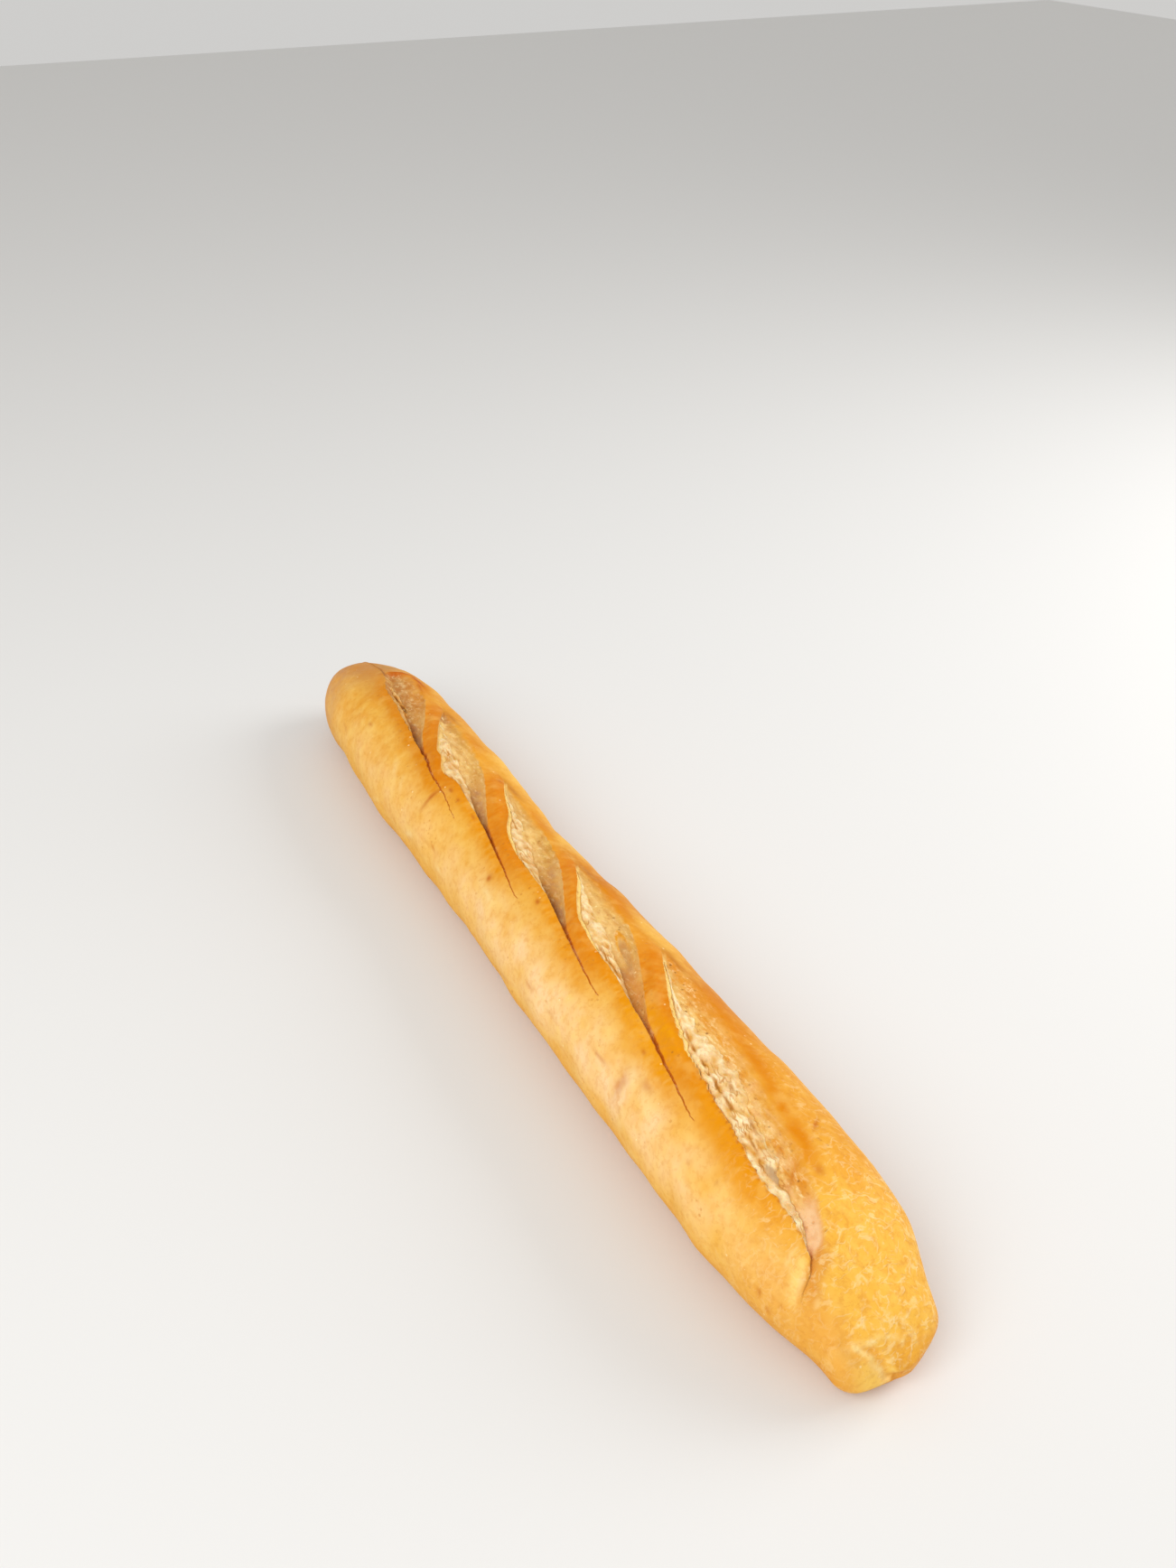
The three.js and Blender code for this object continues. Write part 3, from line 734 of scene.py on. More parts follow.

# %% [markdown]
# ## Layers in the cuts
# The floors are orange where they're thin and baked, and cream where crumb shows. Where the cut
# narrows, the floor and its crack are given painted shade: dull over the floor and dark brown along
# the lip. Cracks, the blister, the ends and the marks come late, because they lie over the rest. One
# even tint underneath comes last, where the loaf lay on the tray.

# %% Layers of the cuts
CUT_LAYERS = [
    ("early floors", (218, 164, 82), early_floor),
    ("brown on two early floors", (200, 142, 56),
     0.7 * early_floor * (stretch(-80, -60, -15, 5) + stretch(-160, -145, -122, -108))),
    ("light on early floors", (242, 194, 100),
     0.45 * early_floor * ease(strands + 0.5 * patches, 0.0, 0.5)),
    ("dark on early floors", (196, 140, 80), 0.3 * early_floor * ease(-strands, 0.25, 0.7)),
    ("crumbly floors", (238, 200, 132), 0.7 * halo_mask * early_floor * (0.8 + 0.5 * strands)),
    ("last floor", (222, 159, 74), last_floor),
    ("last floor, orange side", (224, 141, 30), last_floor * ease(across_mask, 0.35, 0.85)),
    ("last floor, crumbly side", (240, 200, 120), 0.75 * last_floor * halo_mask * (0.8 + 0.5 * strands)),
    ("last floor, blush", (238, 184, 122),
     0.6 * last_floor * ease(s, 95, 150) * ease(strands + 0.4 * patches, -0.1, 0.35)),
    ("last floor, amber", (224, 140, 12), 0.6 * last_floor * ease(-strands, 0.15, 0.6)),
    # Pale crust edge on the lip walls, brightened with painted light where the walls face away from the
    # lamps
    ("lip walls", (250, 216, 130), 0.9 * wall_mask * window(passed_mask, (0, 6), (70, 95)) * ~in_first
     * (1 - 0.65 * (1 - ease(s, -100, -85)))),
    # Painted shade where the cut narrows: dull over the floor, lighter towards the bank, dark brown along
    # the lip, lighter in the fourth cut
    ("late floors", (190, 138, 90), narrowing_shade_mask * (0.85 + 0.3 * mottle + 0.3 * strands)),
    ("late floors, bank side", (232, 182, 104), 0.8 * narrowing_shade_mask * ease(across_mask, 0.6, 0.95)),
    ("late floors, lip side", (140, 72, 10), 0.95 * narrowing_shade_mask * (1 - ease(across_mask, 0.05, 0.55))),
    ("late floor of the fourth cut", (224, 154, 68), 0.65 * narrowing_shade_mask * ease(s, 70, 84)),
    # Painted shade in the cracks where the cut closes
    ("cracks", (196, 100, 6), 0.95 * crack_mask * ease(passed_mask, 85, 115)),
    ("pink end", (243, 200, 150), pink_end),
    ("valley", (240, 182, 80), valley),
    ("first floor", (184, 130, 74), 0.9 * first_floor),
    ("first floor, orange side", (216, 140, 52), 0.8 * first_floor * ease(across_mask, 0.35, 0.8)),
    ("first floor, rust", (176, 100, 42), 0.5 * first_floor * ease(-fine, 0.1, 0.6)),
    ("first floor, cream", (222, 180, 120), 0.4 * first_floor * ease(fine, 0.1, 0.6)),
    ("first lobe", (196, 136, 56), lobe * (0.8 + 0.4 * mottle)),
    ("blister's rim", (226, 150, 24), blister_rim),
    ("blister", (206, 155, 94), 0.8 * ease(blister, 0.5, 0.8)),
    # Painted highlight on the edge beside the crack at the end of the last cut
    ("beside the end crack", (255, 216, 126),
     0.7 * window(-past, (0.3, 1.2), (2.5, 7)) * ring(124, 132, 152, 165) * ease(s, 216, 224)),
    ("past the end crack", (222, 150, 62),
     0.7 * window(past, (0, 0.8), (4.5, 9)) * ring(106, 116, 138, 152)),
    ("blunt end", (255, 208, 100), 0.9 * ease(s, 257, 263) * (1 - crease) * ease(angle, 100, 125)),
    ("below the shelf", (236, 160, 44), 0.5 * ease(s, 258, 261) * ring(5, 30, 95, 118)),
    ("groove", (224, 140, 20), 0.5 * groove),
    # The shelf's pale ridge, and a painted highlight along the crease on the knob's edge
    ("shelf and crease", (255, 222, 145), 0.6 * shelf * (0.7 + 0.9 * fine) + 0.8 * crease),
    ("beads at the last lip", (186, 92, 20), 0.75 * beads),
    # Dark marks, two of them painted shadow lines
    ("dark marks", (190, 92, 18), dark_mark_and_shadow),
    ("pale marks", (252, 222, 155), 0.7 * pale_mark),
    ("on the tray", (230, 154, 50), tray),
]
print(len(CUT_LAYERS), "layers lie in the cuts and over them")

# %% [markdown]
# ## Lay the colours on
# A layer mixes with what lies under it by its share, like a brush of that opacity, in the order of
# the lists. The result is a colour for each vertex. Two more masks go to the material: where the skin
# crackled, and where flecks show.

# %% Mix the layers
def painted(under, paint, share):
    """What lies under, times one minus the share, plus the paint times the share."""
    share = np.clip(share, 0, 1)[..., None]
    return under * (1 - share) + paint * share


bake = np.broadcast_to(tint(*GOLD), angle.shape + (3,))
for name, screen, share in CRUST_LAYERS + CUT_LAYERS:
    bake = painted(bake, tint(*screen), share)

crackle_mask = np.maximum(ease(s, 170, 225) * (1 - 0.6 * ease(angle, 120, 150)),
                          0.7 * ring(0, 30, 60, 80) * ease(s, 110, 180))
crackle_mask = crackle_mask * (1 - 0.8 * rim_mask) * (1 - floor_mask * (1 - ease(s, 227, 231)))
crackle_mask = crackle_mask * (1 - tray)
fleck_mask = floor_mask * (1 - ease(s, 208, 219)) * (1 - 0.3 * narrowing_shade_mask) * (1 + 0.6 * in_last)
print("the bake runs from", np.round(bake.min((0, 1)), 2), "to", np.round(bake.max((0, 1)), 2))

# %% [markdown]
# ## The mesh
# The net becomes a mesh of four-sided faces, closed at each tip by a fan of triangles round one
# vertex. Blender can make a mesh from Python lists, but with a hundred thousand faces it is quicker to
# hand over whole arrays. The masks go along as attributes, one number for each vertex.

# %% Build the mesh
def net_mesh(name, rings, tips):
    """Closes rings of places into a mesh. Face corners go round the loaf first and then along it, so
    that the faces point outwards. A tip's fan takes the same order with one side shrunk to a point."""
    rows, columns = rings.shape[:2]
    index = np.arange(rows * columns).reshape(rows, columns)
    beside = np.roll(index, -1, axis=1)
    quads = np.stack([index[:-1], beside[:-1], beside[1:], index[1:]], -1).reshape(-1, 4)
    far, near = rows * columns, rows * columns + 1
    far_fan = np.stack([np.full(columns, far), beside[0], index[0]], -1)
    near_fan = np.stack([index[-1], beside[-1], np.full(columns, near)], -1)
    corners = np.concatenate([quads.ravel(), far_fan.ravel(), near_fan.ravel()])
    sizes = np.concatenate([np.full(len(quads), 4), np.full(2 * columns, 3)])
    mesh = bpy.data.meshes.new(name)
    mesh.vertices.add(far + 2)
    mesh.vertices.foreach_set("co", np.concatenate([rings.reshape(-1, 3), tips]).ravel())
    mesh.loops.add(len(corners))
    mesh.loops.foreach_set("vertex_index", corners)
    mesh.polygons.add(len(sizes))
    mesh.polygons.foreach_set("loop_start", np.cumsum(sizes) - sizes)
    mesh.update(calc_edges=True)
    mesh.validate()
    mesh.shade_smooth()
    return mesh


def keep(mesh, name, values):
    """Stores a number or a colour for each vertex. The tips take the mean of their nearest ring."""
    ends = np.stack([values[0].mean(0), values[-1].mean(0)])
    flat = np.concatenate([values.reshape((-1,) + values.shape[2:]), ends])
    if flat.ndim == 1:
        mesh.attributes.new(name, "FLOAT", "POINT").data.foreach_set("value", flat)
    else:
        rgba = np.concatenate([flat, np.ones((len(flat), 1))], 1)
        mesh.attributes.new(name, "FLOAT_COLOR", "POINT").data.foreach_set("color", rgba.ravel())


def piece(name, rings, tips, **kept):
    """Makes an object from a net in millimetres and stores the given numbers on it."""
    mesh = net_mesh(name, (rings - middle) * MILLIMETRE, (tips - middle) * MILLIMETRE)
    for key, values in kept.items():
        keep(mesh, key, values)
    made = bpy.data.objects.new(name, mesh)
    bpy.context.scene.collection.objects.link(made)
    print(name, "has", len(mesh.polygons), "faces")
    return made


crust = piece("crust", places, tips, bake=bake, torn=0 * angle, floor=floor_mask,
              flecks=fleck_mask, crackle=crackle_mask)
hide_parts("loaf")
loaf_pieces = [crust]

# %% [markdown]
# ## Torn crumb
# Next to the lip the dough was pulled apart and crumb shows: lumps, strands, slits and pores. It is
# finer than the skin's net can hold, so it's laid in as five pieces of its own, one for each cut.
# Sculpting would serve as well, but a net of half millimetres follows the lip by itself. The larger
# holes are placed one by one, each a spot like the marks on the skin, taken off the crumb's height.

# %% Holes in the crumb
# s, angle, half length, half width in degrees
POCKET = (198, 110, 5.5, 3.4)
# s, angle, half length, half width in degrees, turn in degrees, depth
HOLES = [
    (-207, 94.6, 2.4, 1.6, 0, 0.9), (-198.5, 95.4, 3.4, 2.2, 0, 1.6), (-188, 95.2, 3.2, 2.4, 0, 1.7),
    (-178, 93.9, 5.2, 2.3, 4, 1.7), (-169, 97.2, 3.2, 1.6, 10, 0.9), (-160, 99.5, 3.2, 1.3, 8, 0.7),
    (-93, 102.4, 6, 1.0, 0, 0.5), (-72, 99, 5, 0.9, 5, 0.35),
    (-61, 78.4, 3, 1.3, 30, 0.6), (-50, 82.2, 5, 1.1, 10, 0.6), (-22, 99, 4, 0.9, 8, 0.4),
    (-6, 100.8, 5, 0.9, 4, 0.4), (62, 101, 6, 1.1, 7, 0.5), (75, 102.8, 5, 1.1, 6, 0.5),
    (30, 89.5, 2.2, 0.9, 20, 0.35), (92, 74, 3, 0.8, 24, 0.3), (108, 86.5, 2.4, 0.9, 20, 0.35),
    (122, 93.5, 3, 1.0, 14, 0.5), (131, 97, 3.8, 1.1, 14, 0.55), (141, 99, 3.5, 1.0, 11, 0.5),
    (152, 101.5, 4.5, 1.0, 10, 0.5), (163, 103.5, 4, 1.2, 10, 0.5), (157, 95, 4, 1.5, 12, 0.45),
    (176, 100, 4.5, 1.5, 12, 0.45), (184, 108, 3.5, 1.0, 11, 0.5), (193, 112.2, 3, 0.8, 8, 0.4),
]
print(len(HOLES), "holes go", max(hole[-1] for hole in HOLES), "mm deep at most")

# %% [markdown]
# ## The crumb's colours
# The colour follows the height of the lumps, with a painted highlight on their tops and painted shade
# in the hollows between them. Each cut has its own tone between tan and cream. The edge, painted shade
# in the slits and holes, and one grey pocket are laid over that.

# %% Colours of crumb
# Cream and tan crumb, each as a painted highlight and a painted shade
CREAM_PAINTED_HIGHLIGHT, CREAM_PAINTED_SHADE = tint(255, 234, 186), tint(226, 168, 82)
TAN_PAINTED_HIGHLIGHT, TAN_PAINTED_SHADE = tint(228, 186, 122), tint(190, 134, 70)
CRUMB_EDGE = tint(228, 178, 100)
# Painted shade in the crumb's slits and holes: gold at their rims, brown in their depths
SLIT_AND_HOLE_HALF_SHADE, SLIT_AND_HOLE_SHADE = tint(214, 144, 56), tint(136, 80, 26)
POCKET_GREY = tint(204, 168, 124)


def crumb_colour(tone, highlight_share, edge, slit, hole, pocket):
    """Tan and cream are each mixed from painted shade to painted highlight, then one with the other by
    the tone. Four paints go over them, each with a share of its own: the edge, two of painted shade in
    slits and holes, and the grey pocket."""
    cream, tan = painted(CREAM_PAINTED_SHADE, CREAM_PAINTED_HIGHLIGHT, highlight_share), painted(TAN_PAINTED_SHADE, TAN_PAINTED_HIGHLIGHT, highlight_share)
    colour = tan + (cream - tan) * tone
    # The edge, painted shade in the slits and holes, and the grey pocket
    for paint, share in ((CRUMB_EDGE, 0.9 * edge), (SLIT_AND_HOLE_HALF_SHADE, 0.9 * slit + 1.8 * hole),
                         (SLIT_AND_HOLE_SHADE, 0.3 * slit + hole - 0.15), (POCKET_GREY, pocket)):
        colour = painted(colour, paint, share)
    return colour


print("the cuts' crumb has a share of cream of", [cut["tone"] for cut in CUTS])

# %% [markdown]
# ## The top of a slab
# Each piece is a slab. Its rough top slopes from just under the lip to the floor, and its edges are
# buried in the dough.

# %% The top of a slab
CRUMB_STEP = 0.5
CRUMB_COLUMNS = 44
CRUMB_BELOW = 0.35
BURIED = 1.4
LUMP_RISE = 0.6
PEBBLE_RISE = 1.0
SLIT_DEPTH = 0.35
POCKET_DEPTH = 0.5
HOLE_JITTER = 0.5
SLIT_WIDTH = 0.09
LUMP_SIZE, PEBBLE_SIZE = 6, 5
STRETCHED = (0.7, 1, 1)
TAPER = 18.0
# How much painted highlight the crumb takes: a base share, and more with the relief of the lumps
HIGHLIGHT_BASE, HIGHLIGHT_PER_RELIEF = 0.66, 0.8


def crumb_net(cut, seed):
    """The places s and angle, the height over the plain body, and the colour of one slab of crumb.
    Across the slab the share v goes from 1 at the floor to 0 at the lip. Its top falls with v to the
    power 1.5. It carries soft lumps, rounder pebbles whose creases are where noise crosses zero, a
    few slits, and the holes."""
    first, last = cut["start"] + cut["torn"][0][0], cut["start"] + cut["torn"][-1][0]
    s = np.arange(first, last, CRUMB_STEP)[:, None]
    passed = s - cut["start"]
    lengthwise = np.stack([s, 0 * s, 0 * s + seed], -1)
    wide = along(cut["torn"], passed) * (1 + 0.2 * noise(lengthwise / 8, 1, seed))
    v = np.linspace(1, 0, CRUMB_COLUMNS)
    over = along(cut["over"], passed)
    from_lip = (wide + over) * v - over
    angle = lip_angle(cut, s) - from_lip
    sunk = hollow(cut, s, lip_angle(cut, s) - wide)[0]
    at = body(s, angle) * STRETCHED
    lumps = rough(at, LUMP_SIZE, seed + 1, 3)
    pebbles = (np.sqrt(noise(at, PEBBLE_SIZE, seed + 5) ** 2 + 0.01)
               + 0.35 * noise(at, 2.3, seed + 6) - 0.35)
    strand = np.stack([s / 8 + 0 * angle, from_lip * DEGREE / 2, 0 * angle + seed], -1)
    slit = bell(noise(strand, 1, seed + 7), SLIT_WIDTH) * ease(noise(at, 11, seed + 8), 0.0, 0.4)
    slit = slit * window(v + 0 * s, (0.05, 0.2), (0.7, 0.9))
    jitter = HOLE_JITTER * noise(at, 2.5, 79)
    hole = sum(depth * spot(s, angle, jitter, *where) for *where, depth in HOLES
               if cut["start"] < where[0] < cut["end"])
    pocket = oval(s, angle, *POCKET)
    small = np.clip((s - first) / TAPER, 0, 1) * np.clip((last - s) / TAPER, 0, 1)
    relief = LUMP_RISE * lumps + PEBBLE_RISE * pebbles
    rise = relief * (0.4 + 0.6 * small) - (SLIT_DEPTH * slit + hole) * small
    rise = rise * (1 - 0.6 * pocket) - POCKET_DEPTH * pocket
    buried = BURIED * (ease(v, 0.86, 1) + (1 - ease(v, 0, 0.10))) + 1 - ease(small, 0, 0.35)
    top = -CRUMB_BELOW + (sunk + CRUMB_BELOW) * v ** 1.5 + rise - buried
    # Painted highlight on the tops of the lumps, painted shade in the hollows between them
    highlight_share = HIGHLIGHT_BASE + HIGHLIGHT_PER_RELIEF * relief + 0.5 * noise(at, 3, seed + 9)
    edge = ease(v + 0.3 * lumps, 0.76, 1.02)
    return s, angle, top, crumb_colour(cut["tone"], highlight_share, edge, slit, hole, ease(pocket, 0.3, 0.7))


tops = [crumb_net(cut, 100 * number) for number, cut in enumerate(CUTS, 1)]
print("the crumb's tops have", sum(top[2].size for top in tops), "places")

# %% [markdown]
# ## Five slabs of crumb
# A slab needs an underside, or it would be an open sheet. Coarser columns run back under the top at
# an even depth, and net_mesh closes the ring. Crumb doesn't share the skin's net, so it may cross it
# freely below the surface.

# %% The crumb pieces
SLAB = 2.5
UNDER_EVERY = 4

for number, (at_s, at_angle, top, shade) in enumerate(tops, 1):
    back = slice(None, None, -UNDER_EVERY)
    deep = top[:, back].min(1, keepdims=True) - SLAB + 0 * at_angle[:, back]
    rings = np.concatenate([placed(at_s, at_angle, top), placed(at_s, at_angle[:, back], deep)], 1)
    ends = np.stack([rings[0].mean(0), rings[-1].mean(0)])
    plain = np.zeros(rings.shape[:2])
    crumb = piece("crumb_" + str(number), rings, ends, torn=plain + 1, floor=plain + 1,
                  bake=np.concatenate([shade, shade[:, back]], 1), flecks=plain + 0.3, crackle=plain)
    loaf_pieces.append(crumb)

# %% [markdown]
# ## A helper for node trees
# Materials can be wired by hand in the shader editor. In a script each node takes three lines, so a
# small class adds a node, fills its sockets and hands back the one that is wanted.

# %% A small helper for node trees
class Tree:
    """Adds nodes to a material and links them. An input may be a number, a colour or a socket."""

    def __init__(self, name):
        self.material = bpy.data.materials.new(name)
        self.material.use_nodes = True
        self.nodes = self.material.node_tree.nodes
        self.nodes.clear()
        self.links = self.material.node_tree.links

    def add(self, kind, output=0, settings=None, **inputs):
        """Adds a node, sets or links its inputs by name or number, and returns one output socket."""
        node = self.nodes.new("ShaderNode" + kind)
        for key, value in (settings or {}).items():
            setattr(node, key, value)
        for key, value in inputs.items():
            socket = node.inputs[int(key[1:]) if key[1:].isdigit() else key.replace("_", " ")]
            if isinstance(value, bpy.types.NodeSocket):
                self.links.new(value, socket)
            else:
                socket.default_value = value
        return node.outputs[output]

    def math(self, operation, first, second=0.0):
        """One arithmetic step."""
        return self.add("Math", settings={"operation": operation}, _0=first, _1=second)

    def ramp(self, value, low, high):
        """0 below low, 1 above high, eased between."""
        return self.add("MapRange", settings={"interpolation_type": "SMOOTHSTEP"}, Value=value,
                        From_Min=low, From_Max=high)

    def mix(self, factor, first, second):
        """Mixes two colours."""
        return self.add("Mix", output=2, settings={"data_type": "RGBA"}, _0=factor, _6=first, _7=second)

    def masked(self, pattern, mask):
        """The pattern times a mask or a number, or the bare pattern if there is none."""
        return pattern if mask is None else self.math("MULTIPLY", pattern, mask)

    def bump(self, height, distance, normal=None):
        """Tilts the shading as if the surface stood out by height times distance."""
        inputs = {} if normal is None else {"Normal": normal}
        return self.add("Bump", Height=height, Distance=distance, **inputs)

    def finish(self, shader):
        """Sends the shader to the material's output."""
        self.links.new(shader, self.nodes.new("ShaderNodeOutputMaterial").inputs["Surface"])


def rgba(red, green, blue):
    """A screen colour as the four linear numbers that a colour socket takes."""
    return (*[float(v) for v in tint(red, green, blue)], 1.0)


print("a node tree needs", len([m for m in vars(Tree) if not m.startswith("_")]), "helpers")

# %% [markdown]
# ## What the material reads
# The material reads the colours and masks that were stored on the vertices. For patterns it reads
# the object's own coordinates, in metres, so they stay on the loaf when it moves. One copy of them is
# warped by noise and stretched round the loaf, for wrinkles, and one is stretched along it, for torn
# strands.

# %% Coordinates and masks
tree = Tree("baked crust")
here = tree.add("TexCoord", output=3)
baked = tree.add("Attribute", settings={"attribute_name": "bake"})
torn, floor_share, crackle, flecks = (
    tree.add("Attribute", output=2, settings={"attribute_name": name})
    for name in ("torn", "floor", "crackle", "flecks"))
crumb_share = tree.math("MAXIMUM", torn, tree.math("MULTIPLY", floor_share, 0.45))

warp = tree.add("TexNoise", output=1, Vector=here, Scale=110.0, Detail=3.0)
shift = tree.add("VectorMath", settings={"operation": "SCALE"}, _0=warp, Scale=0.010)
warped = tree.add("VectorMath", settings={"operation": "ADD"}, _0=here, _1=shift)
round_it = tree.add("Mapping", Vector=warped, Scale=(1.0, 0.45, 0.45))
lengthwise = tree.add("Mapping", Vector=here, Scale=(0.45, 1.0, 1.0))
print("the material reads five attributes")

# %% [markdown]
# ## Patterns finer than the mesh
# A speckle and a cloud lie everywhere. Pores, stuck crumbs, pits and dark specks are the middles of
# Voronoi cells, let through only where a coarser noise is high, so that they come in drifts. The blunt
# end has a crackled skin: thin lines at the borders of warped cells, broken up by noise, and a crinkle.

# %% Patterns
FINEST = 700.0


def clouds(scale, detail, roughness=0.5, vector=here):
    """A noise texture: the larger its scale, the finer it is."""
    return tree.add("TexNoise", Vector=vector, Scale=scale, Detail=detail, Roughness=roughness)


def dots(scale, low, high, drift, start, full):
    """Round dots in the middles of cells, shown where a coarse noise is high."""
    near = tree.add("TexVoronoi", settings={"feature": "F1"}, Vector=here, Scale=scale)
    shown = tree.ramp(clouds(drift, 2.0), start, full)
    return tree.math("MULTIPLY", tree.math("SUBTRACT", 1.0, tree.ramp(near, low, high)), shown)


def cracks(scale, width, low, high):
    """Thin lines between warped cells, broken up by noise and shown where the skin crackled."""
    gap = tree.add("TexVoronoi", settings={"feature": "DISTANCE_TO_EDGE"}, Vector=round_it, Scale=scale)
    lines = tree.math("SUBTRACT", 1.0, tree.ramp(gap, 0.0, width))
    part = tree.ramp(clouds(0.9 * scale, 1.0), low, high)
    return tree.math("MULTIPLY", tree.math("MULTIPLY", lines, part), crackle)


speckle = clouds(420.0, 4.0, 0.6)
cloud = clouds(95.0, 5.0, 0.55)
pore = dots(330.0, 0.08, 0.26, 60.0, 0.5, 0.68)
crumbs = dots(170.0, 0.05, 0.11, 45.0, 0.5, 0.6)
pit = dots(250.0, 0.08, 0.22, 85.0, 0.47, 0.6)
speck = dots(80.0, 0.03, 0.065, 30.0, 0.49, 0.55)
line = tree.math("MAXIMUM", cracks(190.0, 0.06, 0.42, 0.62), cracks(330.0, 0.08, 0.47, 0.67))
crinkle = clouds(330.0, 4.0, 0.6, round_it)
blotch = clouds(260.0, 4.0, 0.6, warped)
fleck = clouds(520.0, 5.0, 0.7, lengthwise)
grain = clouds(FINEST, 5.0, 0.65)
print("the finest pattern repeats about every", round(1 / FINEST / MILLIMETRE, 1), "mm")

# %% [markdown]
# ## Paint the patterns on
# Six paints go over the baked colour: a darker amber, a pale cream, a gold, and three browns: painted
# shade for the crumb's fine hollows, one for the dark side of torn strands, and one for pits and
# specks. The list says for each stroke which pattern it follows, which mask lets it through, how
# strong it is and which paint it uses.

# %% Colour of the patterns
DARKER = rgba(214, 134, 44)
PALER = rgba(255, 226, 165)
GOLDEN = rgba(255, 220, 125)
HOLLOW_SHADE = rgba(188, 132, 70)
RUST = rgba(194, 122, 50)
PIT = rgba(156, 98, 40)
STROKES = [
    (tree.ramp(speckle, 0.5, 0.62), None, 0.2, DARKER),
    (tree.ramp(cloud, 0.5, 0.7), None, 0.18, GOLDEN),
    (speck, None, 0.5, PIT),
    (pore, None, 0.45, DARKER),
    (crumbs, None, 0.75, PALER),
    (tree.ramp(blotch, 0.5, 0.68), crackle, 0.36, DARKER),
    (line, None, 0.42, PALER),
    (tree.ramp(crinkle, 0.56, 0.66), crackle, 0.42, PALER),
    (tree.ramp(fleck, 0.5, 0.68), flecks, 0.45, PALER),
    (tree.ramp(fleck, 0.46, 0.32), flecks, 0.5, RUST),
    # Painted shade where the crumb's fine grain dips, as it does in the bump
    (tree.ramp(grain, 0.52, 0.36), crumb_share, 0.15, HOLLOW_SHADE),
    (pit, flecks, 0.65, PIT),
]

base = baked
for pattern, mask, strength, paint in STROKES:
    base = tree.mix(tree.math("MULTIPLY", tree.masked(pattern, mask), strength), base, paint)
print(len(STROKES), "strokes go over the baked colour")

# %% [markdown]
# ## Fine relief and gloss
# What is too shallow for the mesh tilts the shading only. Bump nodes are chained, one for each
# pattern, because each has its own depth, from a tenth of a millimetre to six tenths. Crust is
# slightly glossy and crumb is matt. Light goes a little way into crumb, so its share also drives the
# subsurface weight.

# %% Relief and shader
RELIEF = [
    (speckle, None, 0.00018),
    (cloud, None, 0.0003),
    (pore, -1.0, 0.00022),
    (line, None, 0.0001),
    (crinkle, crackle, 0.0006),
    (grain, crumb_share, 0.0005),
]

normal = None
for pattern, mask, depth in RELIEF:
    normal = tree.bump(tree.masked(pattern, mask), depth, normal)
gloss = tree.add("MapRange", Value=crumb_share, To_Min=0.5, To_Max=0.85)
gloss = tree.math("ADD", gloss, tree.math("MULTIPLY", tree.math("SUBTRACT", speckle, 0.5), 0.25))
shader = tree.add("BsdfPrincipled", Base_Color=base, Roughness=gloss, Normal=normal,
                  Specular_IOR_Level=0.06, Subsurface_Scale=0.0025,
                  Subsurface_Weight=tree.math("MULTIPLY", crumb_share, 0.35),
                  Subsurface_Radius=(1.0, 0.6, 0.3))
tree.finish(shader)
print("the crust's material has", len(tree.nodes), "nodes")

# %% [markdown]
# ## Dress the loaf
# All six pieces carry the one material, because crust and crumb differ only by what is stored on
# their vertices. They ride on the loaf's only body.

# %% Material and body
for made in loaf_pieces:
    made.data.materials.append(tree.material)
    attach(made, "root")
print("pieces of the loaf:", [made.name for made in loaf_pieces])

# %% [markdown]
# ## The floor
# The loaf stands on a plain pale sheet, wide enough to have no edge in view. A texture would only
# draw the eye away.

# %% Floor
FLOOR_SIZE = 6.0
bpy.ops.mesh.primitive_plane_add(size=FLOOR_SIZE)
floor = bpy.context.object
floor.name = "floor"
pale = Tree("pale floor")
pale.finish(pale.add("BsdfPrincipled", Base_Color=rgba(228, 227, 225), Roughness=0.9))
floor.data.materials.append(pale.material)
print("the floor is", FLOOR_SIZE, "m square")

# %% [markdown]
# ## Light
# Bread looks best in broad, soft light. A pale room fills the shadows, one big panel on the left
# models the flank, and a weaker one from the right keeps the far side open. Point lamps would put
# hard glints on the crust.

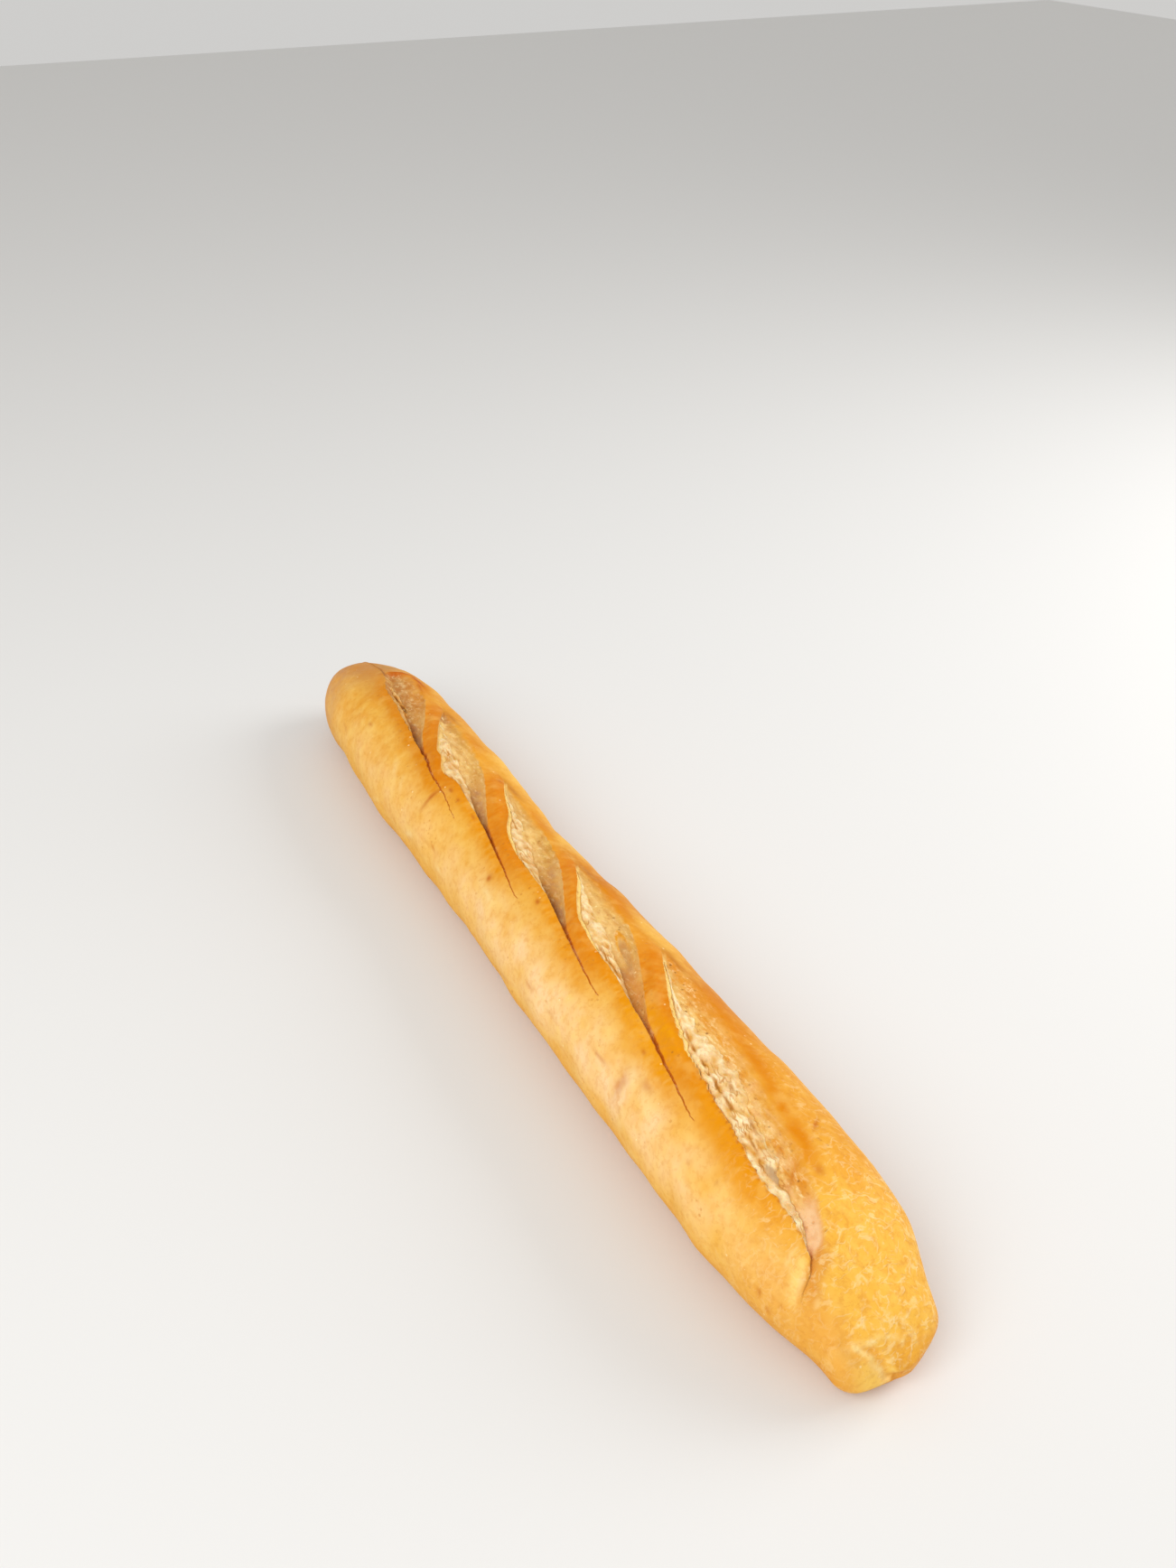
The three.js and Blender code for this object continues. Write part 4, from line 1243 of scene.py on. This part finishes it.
# %% Two panels and a pale room
def panel(name, place, aim, size, power):
    """A square area light at place, in metres, that faces aim."""
    light = bpy.data.lights.new(name, "AREA")
    light.size = size
    light.energy = power
    lamp = bpy.data.objects.new(name, light)
    lamp.location = place
    lamp.rotation_euler = (Vector(aim) - Vector(place)).to_track_quat("-Z", "Y").to_euler()
    bpy.context.scene.collection.objects.link(lamp)
    return lamp


panel("window", (0.55, -1.1, 1.2), (0, 0, 0), 1.2, 15)
panel("rim", (0.2, 1.1, 0.6), (0, 0, 0), 0.8, 8)
world = bpy.data.worlds.new("room")
world.use_nodes = True
background = world.node_tree.nodes["Background"]
background.inputs["Color"].default_value = (1.0, 0.99, 0.97, 1)
background.inputs["Strength"].default_value = 0.62
bpy.context.scene.world = world
bpy.context.scene.view_settings.view_transform = "Standard"

# %% [markdown]
# ## The camera
# The camera looks down on the loaf from beyond its blunt end. It is given as a point, a compass
# heading, a fall below the horizon and a slight roll. The picture is shifted on the film, as with a
# view camera, so that the loaf sits where it should without a further tilt.

# %% Camera
CAMERA_PLACE = Vector((0.4540, -0.2210, 0.4209))
CAMERA_HEADING = 151.97
CAMERA_FALL = 42.53
CAMERA_ROLL = 0.42
LENS = 31.106
SHIFT_DOWN = 0.155

heading, fall = math.radians(CAMERA_HEADING), math.radians(CAMERA_FALL)
forward = Vector((math.cos(heading) * math.cos(fall), math.sin(heading) * math.cos(fall),
                  -math.sin(fall)))
level = forward.cross(Vector((0, 0, 1))).normalized()
upright = level.cross(forward)
roll = math.radians(CAMERA_ROLL)
right = level * math.cos(roll) + upright * math.sin(roll)
lens = bpy.data.cameras.new("camera")
lens.lens = LENS
lens.shift_y = SHIFT_DOWN
lens.clip_start = 0.01
camera = bpy.data.objects.new("camera", lens)
camera.matrix_world = Matrix.Translation(CAMERA_PLACE) @ Matrix(
    (right, right.cross(forward), -forward)).transposed().to_4x4()
bpy.context.scene.collection.objects.link(camera)
bpy.context.scene.camera = camera
print("the camera stands", round(CAMERA_PLACE.length, 2), "m from the loaf's middle")

# %% [markdown]
# ## Sizes
# The visual loaf should keep to the size of the solid one. Both sizes are printed above.
